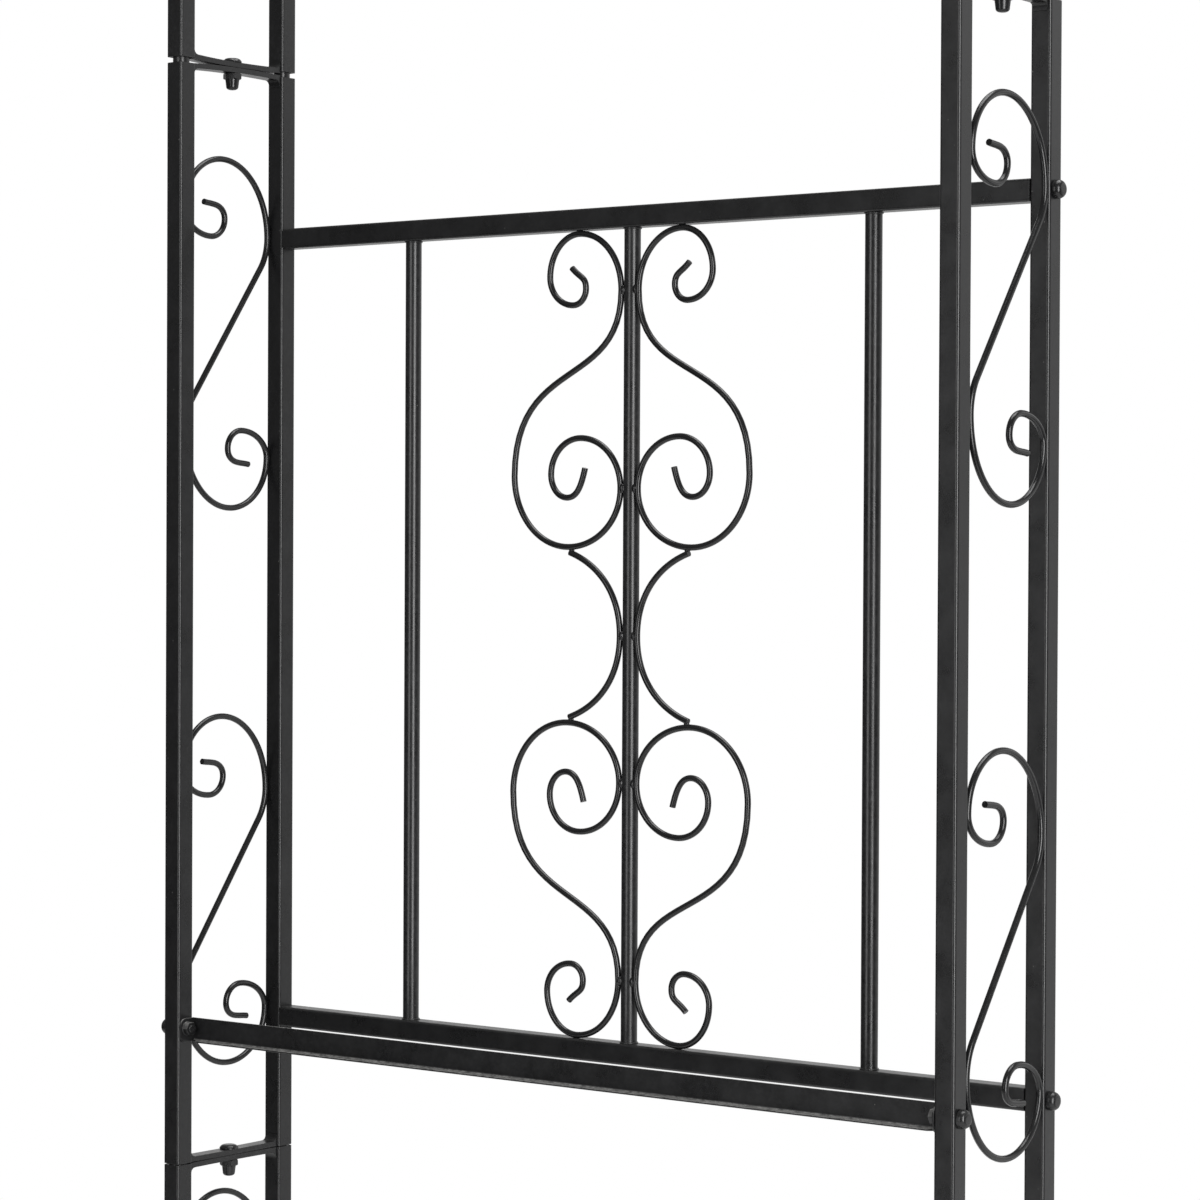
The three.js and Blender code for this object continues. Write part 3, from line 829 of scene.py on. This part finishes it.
class GARDENARCH_OT_cross_bars(bpy.types.Operator):
    """Makes the flat cross bars between the near and far tubes"""

    bl_idname = "garden_arch.cross_bars"
    bl_label = "Cross bars"

    def execute(self, context):
        s = sizes()
        coat = coat_material()
        closed_bow = (s.closed_gap - s.bar_slack) / 2
        bowed = flat_bar("bowed_bar", s.bar_near_bow, s.bar_far_bow)
        closed = flat_bar("closed_bar", closed_bow, closed_bow)
        for bar in (bowed, closed):
            cut(bar, bolt_drill("hole"))
        plain = flat_bar("foot_bar", 0, 0)
        turn_over = Matrix.Rotation(math.pi, 4, "Y")
        for name, side in SIDES:
            for bar, master, turn in (
                ("lower_foot_bar", plain, None),
                ("lower_joint_bar", closed, turn_over),
                ("middle_bottom_bar", closed, None),
                ("middle_top_bar", bowed, turn_over),
                ("arch_base_bar", bowed, None),
                ("arch_apex_bar", bowed, Matrix.Rotation(side * QUARTER, 4, "Y")),
            ):
                node = f"{name}_{bar}"
                low, high = box_of(node)
                place = (low + high) / 2
                if bar == "arch_apex_bar":
                    place.x = low.x if side > 0 else high.x
                else:
                    place.z = high.z if turn is turn_over else low.z
                fit(copy_of(master, f"{node}_steel", place, turn), node, coat, angle=40)
        discard(bowed, closed, plain)
        return {"FINISHED"}


# Tubes, bars and rails


class GARDENARCH_OT_posts(bpy.types.Operator):
    """Makes the square posts of the legs"""

    bl_idname = "garden_arch.posts"
    bl_label = "Posts"

    def execute(self, context):
        coat = coat_material()
        for name, _side in SIDES:
            for row in ("near", "far"):
                node = f"{name}_lower_{row}_post"
                fit(upright_post(node, True), node, coat)
            node = f"{name}_middle_near_post"
            fit(upright_post(node, False, [f"{name}_front_rail_bolt"]), node, coat)
            node = f"{name}_middle_far_post"
            bolts = [f"{name}_panel_bottom_bolt", f"{name}_panel_top_bolt"]
            fit(upright_post(node, False, bolts), node, coat)
        return {"FINISHED"}


class GARDENARCH_OT_arch_tubes(bpy.types.Operator):
    """Bends the four tubes of the arch"""

    bl_idname = "garden_arch.arch_tubes"
    bl_label = "Arch tubes"

    def execute(self, context):
        coat = coat_material()
        for name, side in SIDES:
            for row in ("near", "far"):
                node = f"{name}_arch_{row}_tube"
                fit(bent_tube(node, side, side < 0), node, coat)
        return {"FINISHED"}


class GARDENARCH_OT_panel_frame(bpy.types.Operator):
    """Makes the rails and the round bars of the gate panel"""

    bl_idname = "garden_arch.panel_frame"
    bl_label = "Panel frame"

    def execute(self, context):
        coat = coat_material()
        radius, ring_width, ring_depth = sizes().round_bar / 2, mm(1.1), mm(0.2)
        for node in ("panel_top_rail", "panel_bottom_rail"):
            fit(square_rail(node), node, coat)
        for node in ("panel_left_bar", "panel_centre_bar", "panel_right_bar"):
            low, high = box_of(node)
            bar = add_rod(f"{node}_steel", radius, low.z, high.z, sides=64)
            open_ends(bar, UP)
            hollow(bar, sizes().tube_wall)
            rings = []
            for z in (low.z + ring_depth, high.z - ring_depth):
                ring = weld_ring("ring", radius, ring_width)
                set_at(ring, (0, 0, z))
                rings.append(ring)
            join(bar, *rings)
            middle = middle_of(node)
            set_at(bar, (middle.x, middle.y, 0))
            fit(bar, node, coat, angle=45)
        return {"FINISHED"}


def mitred_flange(low, high):
    """The front rail's flange, whose ends slope inwards, and the round root of its fold"""
    s = sizes()
    left, right = low.x + s.rail_relief, high.x - s.rail_relief
    front, web = high.y - s.rail_flange, high.y - s.rail_steel
    floor = low.z + s.rail_steel
    back_inset, overlap, edge_round = mm(1.2), mm(0.2), mm(0.7)
    lip = add_block("flange", (left, front, low.z), (right, high.y - back_inset, floor))
    for side in (-1, 1):
        with shaping(lip, "VERT"):
            pick("VERT", lambda vertex: vertex.co.x * side > 0 and is_at(vertex.co.y, front))
            bpy.ops.transform.translate(value=(-side * s.rail_mitre, 0, 0))
    soften(lip, lambda edge: is_corner(edge) and is_at(edge.verts[0].co.y, front), edge_round, segments=4)
    fold = add_block(
        "fold", (left, web - s.rail_fold, floor - overlap), (right, web + overlap, floor + s.rail_fold))
    hollow_out = add_rod("hollow_out", s.rail_fold, low.x, high.x)
    lay_down(hollow_out, (0, web - s.rail_fold, floor + s.rail_fold))
    cut(fold, hollow_out)
    return [lip, fold]


def rail_end(side, low, high):
    """An end plate of the front rail, rounded in front, with its weld nut"""
    s = sizes()
    outer, inner = side * high.x, side * (high.x - s.end_plate)
    corner, nut_edge, seam_radius, seam_width = mm(8), mm(0.5), mm(6.9), mm(0.7)

    def is_front(edge):
        return runs_along(edge, ALONG) and is_at(edge.verts[0].co.y, low.y)

    plate = add_block("end_plate", (min(outer, inner), low.y, low.z), (max(outer, inner), high.y, high.z))
    soften(plate, is_front, corner, segments=8)
    soften(plate, is_corner, s.soft_edge)
    bolt = middle_of("left_front_rail_bolt")
    nut = add_rod("weld_nut", s.weld_nut / 2, 0, s.weld_nut_height, sides=6)
    soften(nut, is_corner, nut_edge)
    lay_down(nut, (inner, bolt.y, bolt.z), -side)
    seam = weld_ring("seam", seam_radius, seam_width)
    lay_down(seam, (inner, bolt.y, bolt.z))
    return [plate, nut, seam]


class GARDENARCH_OT_front_rail(bpy.types.Operator):
    """Folds the front rail and welds on its end plates and nuts"""

    bl_idname = "garden_arch.front_rail"
    bl_label = "Front rail"

    def execute(self, context):
        low, high = box_of("front_rail")
        fold_round = mm(1.5)

        def is_fold(edge):
            place = edge.verts[0].co
            return runs_along(edge, ALONG) and is_at(place.y, high.y) and is_at(place.z, low.z)

        rail = add_block("front_rail_steel", (low.x, high.y - sizes().rail_steel, low.z), high)
        soften(rail, is_fold, fold_round, segments=5)
        soften(rail, is_corner, sizes().soft_edge)
        parts = mitred_flange(low, high)
        for side in (-1, 1):
            parts += rail_end(side, low, high)
        fit(join(rail, *parts), "front_rail", dusty_lit_ledge_material())
        return {"FINISHED"}


# Fasteners


def turned_form(name, profile, sides=56):
    """A form turned round Z, drawn upwards as radius and height"""
    radius, height = profile[0]
    select_only()
    bpy.ops.mesh.primitive_circle_add(
        vertices=sides, radius=radius, fill_type="NGON", location=(0, 0, height))
    piece = newest(name)
    set_down(piece)
    with shaping(piece):
        bpy.ops.mesh.select_all(action="SELECT")
        for next_radius, next_height in profile[1:]:
            bpy.ops.mesh.extrude_region_move(
                TRANSFORM_OT_translate={"value": (0, 0, next_height - height)})
            grow = next_radius / radius
            bpy.ops.transform.resize(value=(grow, grow, 1), center_override=(0, 0, next_height))
            radius, height = next_radius, next_height
    clean(piece)
    return piece


def rounded(start, pull, end, steps):
    """Points along a quadratic bend, without its start"""
    drawn = []
    for i in range(1, steps + 1):
        t = i / steps
        drawn.append(tuple(
            (1 - t) ** 2 * a + 2 * t * (1 - t) * b + t * t * c for a, b, c in zip(start, pull, end)))
    return drawn


def domed_bolt(name, length, diameter, wall, top):
    """A bolt whose domed head sits on Z = 0"""
    rim, shank, crown = diameter / 2, sizes().bolt_shank / 2, mm(4)
    point, rim_edge, centre, centre_rise = mm(0.8), mm(0.4), mm(0.4), mm(0.01)
    profile = [
        (shank - point, -length),
        (shank, point - length),
        (shank, 0),
        (rim - rim_edge, 0),
        (rim, rim_edge),
        (rim, wall),
    ]
    profile += rounded((rim, wall), ((3 * rim + crown) / 4, top), (crown, top), steps=12)
    profile += [(crown / 2, top + centre_rise), (centre, top + centre_rise)]
    return turned_form(name, profile)


def cap_nut(name):
    """A cap nut whose hexagon hangs under Z = 0, above its tapered barrel and round end"""
    s = sizes()
    hex_height, bottom = s.nut_hexagon, s.nut_height
    tip, barrel, corners = s.nut_tip / 2, s.nut_barrel / 2, s.nut_corners / 2
    centre, round_height = mm(0.3), mm(4)
    chamfer_width, chamfer_height, overrun, beyond = mm(1.5), mm(0.9), mm(0.1), mm(0.01)
    edge_round = mm(0.25)
    profile = [(centre, -bottom)]
    profile += rounded((centre, -bottom), (tip, -bottom), (tip, round_height - bottom), steps=12)
    profile += [(barrel, -hex_height / 2)]
    end = turned_form(name, profile)
    hexagon = add_rod("hexagon", corners, -hex_height, 0, sides=6)
    chamfer = turned_form("chamfer", [
        (corners - chamfer_width, -hex_height - beyond),
        (corners + overrun, chamfer_height - hex_height),
        (corners + overrun, -chamfer_height),
        (corners - chamfer_width, beyond),
    ])
    apply_modifier(hexagon, "BOOLEAN", operation="INTERSECT", object=chamfer, solver="EXACT")
    discard(chamfer)
    soften(hexagon, is_corner, edge_round)
    return join(end, hexagon)


class GARDENARCH_OT_fasteners(bpy.types.Operator):
    """Makes the domed bolts and the cap nuts"""

    bl_idname = "garden_arch.fasteners"
    bl_label = "Bolts and cap nuts"

    def execute(self, context):
        s = sizes()
        coat = fastener_material()
        low, high = box_of("left_front_rail_bolt")
        rail_length = high.x - low.x - s.rail_head_height
        rail_bolt = domed_bolt("rail_bolt", rail_length, s.rail_head, s.rail_head_wall, s.rail_head_height)
        low, high = box_of("left_lower_joint_bolt")
        joint_length = high.z - low.z - s.joint_head_height
        joint_bolt = domed_bolt(
            "joint_bolt", joint_length, s.joint_head, s.joint_head_wall, s.joint_head_height)
        nut = cap_nut("nut")

        def put(master, node, place, turn=None):
            fit(copy_of(master, f"{node}_steel", place, turn), node, coat)

        for name, side in SIDES:
            turn = Matrix.Rotation(side * QUARTER, 4, "Y")
            for place in ("panel_top", "panel_bottom", "front_rail"):
                node = f"{name}_{place}_bolt"
                low, high = box_of(node)
                middle = (low + high) / 2
                middle.x = side * (max(abs(low.x), abs(high.x)) - s.rail_head_height)
                put(rail_bolt, node, middle, turn)
        fasteners = (("bolt", joint_bolt, s.joint_head_height), ("cap_nut", nut, 0))
        for joint in ("left_lower_joint", "left_upper_joint", "right_lower_joint", "right_upper_joint"):
            for kind, master, head in fasteners:
                node = f"{joint}_{kind}"
                middle = middle_of(node)
                middle.z = box_of(node)[1].z - head
                put(master, node, middle)
        turn = Matrix.Rotation(-QUARTER, 4, "Y")
        for kind, master, head in fasteners:
            node = f"apex_joint_{kind}"
            middle = middle_of(node)
            middle.x = box_of(node)[0].x + head
            put(master, node, middle, turn)
        discard(rail_bolt, joint_bolt, nut)
        return {"FINISHED"}


# Materials


class NodeBoard:
    """Places nodes on a tree and links them"""

    def __init__(self, tree):
        self.tree = tree
        self.column = 0

    def add(self, kind, inputs=None, **values):
        node = self.tree.nodes.new(kind)
        node.location = (self.column * 190, -40 * (self.column % 5))
        self.column += 1
        for key, value in values.items():
            setattr(node, key, value)
        for key, value in (inputs or {}).items():
            if isinstance(value, bpy.types.NodeSocket):
                self.tree.links.new(value, node.inputs[key])
            else:
                node.inputs[key].default_value = value
        return node

    def math(self, operation, *numbers, **values):
        return self.add("ShaderNodeMath", dict(enumerate(numbers)), operation=operation, **values).outputs[0]

    def ramp(self, value, source, target=(0, 1), **values):
        """Maps the values of one range to another"""
        return self.add("ShaderNodeMapRange", {
            "Value": value, "From Min": source[0], "From Max": source[1],
            "To Min": target[0], "To Max": target[1]}, **values).outputs[0]

    def noise(self, place, scale, detail, roughness=0.5):
        return self.add("ShaderNodeTexNoise", {
            "Vector": place, "Scale": scale, "Detail": detail, "Roughness": roughness}).outputs[0]

    def mix(self, share, first, second):
        """A number between two numbers"""
        return self.add("ShaderNodeMix", {0: share, 2: first, 3: second}, data_type="FLOAT").outputs[0]

    def blend(self, share, first, second):
        """A colour between two colours"""
        return self.add("ShaderNodeMix", {0: share, 6: first, 7: second}, data_type="RGBA").outputs[2]


def empty_board(owner):
    """The nodes of a new material or world, with none on them"""
    owner.use_nodes = True
    owner.node_tree.nodes.clear()
    return NodeBoard(owner.node_tree)


def orange_peel(board, given):
    """Height of the fine waves and grains that a sprayed and baked coat keeps"""
    waves = board.noise(given["Place"], given["Wave scale"], detail=1.5, roughness=0.4)
    grains = board.noise(given["Place"], given["Grain scale"], detail=2.0, roughness=0.6)
    grain_share = 0.28
    return [board.math("ADD", waves, board.math("MULTIPLY", grains, grain_share))]


def coat_patches(board, given):
    """Soft patches where the coat is thicker or thinner"""
    clouds = board.noise(given["Place"], given["Scale"], detail=4.0, roughness=0.62)
    return [board.ramp(clouds, (0.34, 0.66))]


def dust_and_top_light_effect(board, given):
    """Fine dust and painted top light on surfaces that face up, and a few coarse specks of dust all over"""
    normal = board.add("ShaderNodeNewGeometry").outputs["Normal"]
    upward = board.add("ShaderNodeSeparateXYZ", {0: normal}).outputs["Z"]
    # Faces that look up are lightened: settled dust, and painted top light as well
    faces_up_dust_and_light = board.ramp(upward, (0.2, 1.0))
    film = board.noise(given["Place"], scale=160, detail=5.0, roughness=0.7)
    settled_and_lit = board.math("MULTIPLY", board.ramp(film, (0.25, 0.65)), faces_up_dust_and_light)
    dust = board.math("MULTIPLY", settled_and_lit, given["Amount"])
    cells = board.add("ShaderNodeTexVoronoi", {"Vector": given["Place"], "Scale": 150, "Randomness": 1.0})
    dots = board.ramp(cells.outputs["Distance"], (0.075, 0.03))
    chance = board.add("ShaderNodeSeparateColor", {0: cells.outputs["Color"]}).outputs[0]
    bare_cells = 0.93
    few = board.math("GREATER_THAN", chance, bare_cells)
    return [dust, board.math("MULTIPLY", dots, few)]


def thin_edges(board, given):
    """Where an edge stands out, broken up so that it isn't a drawn line"""
    ridge = board.ramp(board.add("ShaderNodeNewGeometry").outputs["Pointiness"], (0.53, 0.64))
    breaks = board.noise(given["Place"], scale=210, detail=4.0, roughness=0.65)
    worn = board.math("MULTIPLY", ridge, board.ramp(breaks, (0.45, 0.62)))
    return [board.math("MULTIPLY", worn, given["Amount"])]


EFFECTS = {
    "Orange peel": (orange_peel, {"Wave scale": 520, "Grain scale": 2600}, ["Height"]),
    "Coat patches": (coat_patches, {"Scale": 34}, ["Patches"]),
    "Settled dust and painted top light": (dust_and_top_light_effect, {"Amount": 0.5}, ["Dust", "Specks"]),
    "Thin edges": (thin_edges, {"Amount": 0.5}, ["Edges"]),
}


def effect_group(name):
    """A node group, built once, that each coat uses with its own values"""
    if name in bpy.data.node_groups:
        return bpy.data.node_groups[name]
    effect, numbers, outputs = EFFECTS[name]
    group = bpy.data.node_groups.new(name, "ShaderNodeTree")
    group.interface.new_socket(name="Place", in_out="INPUT", socket_type="NodeSocketVector")
    for socket, default in numbers.items():
        made = group.interface.new_socket(name=socket, in_out="INPUT", socket_type="NodeSocketFloat")
        made.default_value = default
    for socket in outputs:
        group.interface.new_socket(name=socket, in_out="OUTPUT", socket_type="NodeSocketFloat")
    board = NodeBoard(group)
    given, result = board.add("NodeGroupInput"), board.add("NodeGroupOutput")
    for socket, value in zip(outputs, effect(board, given.outputs)):
        group.links.new(value, result.inputs[socket])
    return group


def coated_steel(name, colour, roughness, wave_scale, dust, edges, peel):
    """Black coated steel; dust, edges and peel say how much of each effect shows. The dust film on faces that
    look up is settled dust and also painted top light
    """
    if name in bpy.data.materials:
        return bpy.data.materials[name]
    thin_coat, dust_and_top_light_colour = (*finish_settings().coat_worn, 1), (*finish_settings().coat_dust_and_top_light, 1)
    lighter, glossier, duller, dust_duller, peel_height = 1.45, 0.03, 0.05, 0.45, mm(0.12)
    light_patch = tuple(channel * lighter for channel in colour)
    material = bpy.data.materials.new(name)
    board = empty_board(material)
    material.diffuse_color = (*colour, 1)
    material.roughness = roughness
    place = board.add("ShaderNodeTexCoord").outputs["Object"]

    def use(effect, **numbers):
        group = effect_group(effect)
        return board.add("ShaderNodeGroup", {"Place": place, **numbers}, node_tree=group).outputs

    peel_waves = use("Orange peel", **{"Wave scale": wave_scale})["Height"]
    patches = use("Coat patches")["Patches"]
    settled_and_lit = use("Settled dust and painted top light", Amount=dust)
    worn = use("Thin edges", Amount=edges)["Edges"]
    base = board.blend(patches, (*colour, 1), (*light_patch, 1))
    # Blending towards the dust colour on faces that look up paints top light as well as dust
    dusty_and_lit = board.blend(settled_and_lit["Dust"], board.blend(worn, base, thin_coat), dust_and_top_light_colour)
    specked = board.blend(settled_and_lit["Specks"], dusty_and_lit, dust_and_top_light_colour)
    satin = board.ramp(patches, (0, 1), (roughness - glossier, roughness + duller))
    dust_rough = board.math("MULTIPLY", settled_and_lit["Dust"], dust_duller)
    rough = board.math("ADD", satin, dust_rough, use_clamp=True)
    bump = board.add("ShaderNodeBump", {"Strength": peel, "Distance": peel_height, "Height": peel_waves})
    shader = board.add("ShaderNodeBsdfPrincipled", {
        "Base Color": specked, "Roughness": rough, "Normal": bump.outputs[0],
        "Metallic": 0.0, "IOR": 1.5, "Specular IOR Level": 0.5})
    board.add("ShaderNodeOutputMaterial", {0: shader.outputs[0]})
    return material


def coat_material():
    """The coat of the tubes, bars and panel rails"""
    f = finish_settings()
    return coated_steel(
        "Satin powder coat", tuple(f.coat_colour), f.coat_roughness,
        wave_scale=520, dust=0.14, edges=0.2, peel=0.09)


def wire_material():
    """The coat of the scroll wires, smoother than on the tubes"""
    f = finish_settings()
    return coated_steel(
        "Wire coat", tuple(f.coat_colour), f.wire_roughness,
        wave_scale=700, dust=0.05, edges=0, peel=0.06)


def dusty_lit_ledge_material():
    """The coat of the front rail, whose flange catches dust; its heavy film on faces that look up is also
    painted top light, which makes the flange's top light grey
    """
    f = finish_settings()
    # The amount of 1.3 paints the flange's top light grey: painted top light as much as dust
    return coated_steel(
        "Dusty powder coat with painted top light", tuple(f.coat_colour), f.coat_roughness,
        wave_scale=520, dust=1.3, edges=0.2, peel=0.09)


def fastener_material():
    """The coat of the bolts and cap nuts, with more wear on its edges"""
    f = finish_settings()
    return coated_steel(
        "Fastener coat", tuple(f.fastener_colour), f.fastener_roughness,
        wave_scale=700, dust=0.12, edges=0.7, peel=0.18)


# Studio


def place_camera(context):
    s = studio()
    turn, dip, roll = s.camera_turn, s.camera_dip, s.camera_roll
    ahead = Vector((-math.sin(turn) * math.cos(dip), math.cos(turn) * math.cos(dip), -math.sin(dip)))
    right = Vector((math.cos(turn), math.sin(turn), 0))
    up = right.cross(ahead)
    leaning_right = right * math.cos(roll) + up * math.sin(roll)
    leaning_up = up * math.cos(roll) - right * math.sin(roll)
    select_only()
    bpy.ops.object.camera_add()
    camera = newest("studio_camera")
    view = Matrix((leaning_right, leaning_up, -ahead)).transposed().to_4x4()
    camera.matrix_world = Matrix.Translation(s.camera_place) @ view
    camera.data.lens = s.lens
    camera.data.sensor_width = 36
    camera.data.clip_end = 50
    context.scene.camera = camera


def place_lamp(name, place, aim, size, power):
    select_only()
    bpy.ops.object.light_add(type="AREA", location=place)
    lamp = newest(name)
    lamp.rotation_euler = (Vector(aim) - Vector(place)).to_track_quat("-Z", "Y").to_euler()
    lamp.data.shape = "RECTANGLE"
    lamp.data.size, lamp.data.size_y = size
    lamp.data.energy = power
    lamp.visible_camera = False


def light_the_world(context):
    """White for the camera; for reflections a room that is pale behind the arch and dim before it"""
    world = bpy.data.worlds.new("Studio")
    context.scene.world = world
    board = empty_board(world)
    direction = board.add("ShaderNodeTexCoord").outputs["Generated"]
    to_right, to_back, upward = board.add("ShaderNodeSeparateXYZ", {0: direction}).outputs
    behind = board.ramp(to_back, (0.5, 1.0), (0.0, 0.78))
    on_right = board.ramp(to_right, (-0.5, 0.4), (0.12, 1.0))
    walls = board.math("MULTIPLY", behind, on_right)
    slope = board.math("ABSOLUTE", upward)
    rise = board.ramp(slope, (0.06, 0.18))
    fall = board.ramp(slope, (0.28, 0.50), (1.0, 0.15))
    band = board.math("MULTIPLY", rise, fall)
    cove = board.math("MULTIPLY", band, board.ramp(to_back, (0.1, 0.6)))
    lit = board.math("MAXIMUM", walls, cove)
    room = board.math("ADD", lit, board.ramp(upward, (-0.15, 0.1), (0.05, 0.17)))
    rays = board.add("ShaderNodeLightPath").outputs
    mirrored = board.math("MAXIMUM", rays["Is Glossy Ray"], rays["Is Transmission Ray"])
    fill_light = 0.4
    strength = board.mix(rays["Is Camera Ray"], board.mix(mirrored, fill_light, room), 1.0)
    light = board.add("ShaderNodeBackground", {"Color": (1, 1, 1, 1), "Strength": strength})
    board.add("ShaderNodeOutputWorld", {0: light.outputs[0]})


def lay_floor():
    """A pale floor round the feet that fades into the white of the studio"""
    radius, drop = 2.4, mm(1)
    fade_start, fade_end = 1.3, 2.3
    select_only()
    bpy.ops.mesh.primitive_circle_add(vertices=96, radius=radius, fill_type="NGON", location=(0, 0, -drop))
    floor = newest("studio_floor")
    set_down(floor)
    material = bpy.data.materials.new("Studio floor")
    board = empty_board(material)
    place = board.add("ShaderNodeTexCoord").outputs["Object"]
    reach = board.add("ShaderNodeVectorMath", {0: place}, operation="LENGTH").outputs["Value"]
    fade = board.ramp(reach, (fade_start, fade_end), interpolation_type="SMOOTHSTEP")
    rough = board.ramp(board.noise(place, scale=3.0, detail=3.0), (0, 1), (0.6, 0.75))
    colour = (*finish_settings().floor_colour, 1)
    matt = board.add("ShaderNodeBsdfPrincipled", {
        "Base Color": colour, "Roughness": rough, "Specular IOR Level": 0.2})
    clear = board.add("ShaderNodeBsdfTransparent")
    both = board.add("ShaderNodeMixShader", {0: fade, 1: matt.outputs[0], 2: clear.outputs[0]})
    board.add("ShaderNodeOutputMaterial", {0: both.outputs[0]})
    floor.data.materials.append(material)


class GARDENARCH_OT_stage(bpy.types.Operator):
    """Sets up the floor, the lamps, the white surroundings and the camera"""

    bl_idname = "garden_arch.stage"
    bl_label = "Studio"

    def execute(self, context):
        lay_floor()
        light_the_world(context)
        middle = (0, 0, 1.1)
        upright, square = (1.3, 3.2), (2.6, 2.6)
        place_lamp("right_lamp", (3.05, -1.75, 1.3), middle, upright, studio().right_lamp)
        place_lamp("front_lamp", (-0.35, -3.70, 1.3), middle, upright, studio().front_lamp)
        place_lamp("top_lamp", (0.3, 0.6, 4.6), middle, square, studio().top_lamp)
        place_camera(context)
        context.scene.view_settings.view_transform = "Standard"
        return {"FINISHED"}


# Add-on


class GARDENARCH_PT_panel(bpy.types.Panel):
    """The steps that build the arch"""

    bl_label = "Garden arch"
    bl_idname = "GARDENARCH_PT_panel"
    bl_space_type = "VIEW_3D"
    bl_region_type = "UI"
    bl_category = "Garden arch"

    def draw(self, context):
        for step in STEPS:
            self.layout.operator(step.bl_idname)


STEPS = (
    GARDENARCH_OT_posts,
    GARDENARCH_OT_arch_tubes,
    GARDENARCH_OT_cross_bars,
    GARDENARCH_OT_leg_scrolls,
    GARDENARCH_OT_panel_frame,
    GARDENARCH_OT_panel_scrolls,
    GARDENARCH_OT_front_rail,
    GARDENARCH_OT_fasteners,
    GARDENARCH_OT_stage,
)
SETTINGS = {"arch_sizes": ArchSizes, "arch_finish": ArchFinish, "arch_studio": StudioSettings}


def register():
    for group in SETTINGS.values():
        bpy.utils.register_class(group)
    for name, group in SETTINGS.items():
        setattr(bpy.types.Scene, name, PointerProperty(type=group))
    for step in STEPS:
        bpy.utils.register_class(step)
    bpy.utils.register_class(GARDENARCH_PT_panel)


def unregister():
    bpy.utils.unregister_class(GARDENARCH_PT_panel)
    for step in reversed(STEPS):
        bpy.utils.unregister_class(step)
    for name in SETTINGS:
        delattr(bpy.types.Scene, name)
    for group in reversed(SETTINGS.values()):
        bpy.utils.unregister_class(group)


def main():
    register()
    for step in STEPS:
        area, action = step.bl_idname.split(".")
        getattr(getattr(bpy.ops, area), action)()
    select_only()


if __name__ == "__main__":
    main()
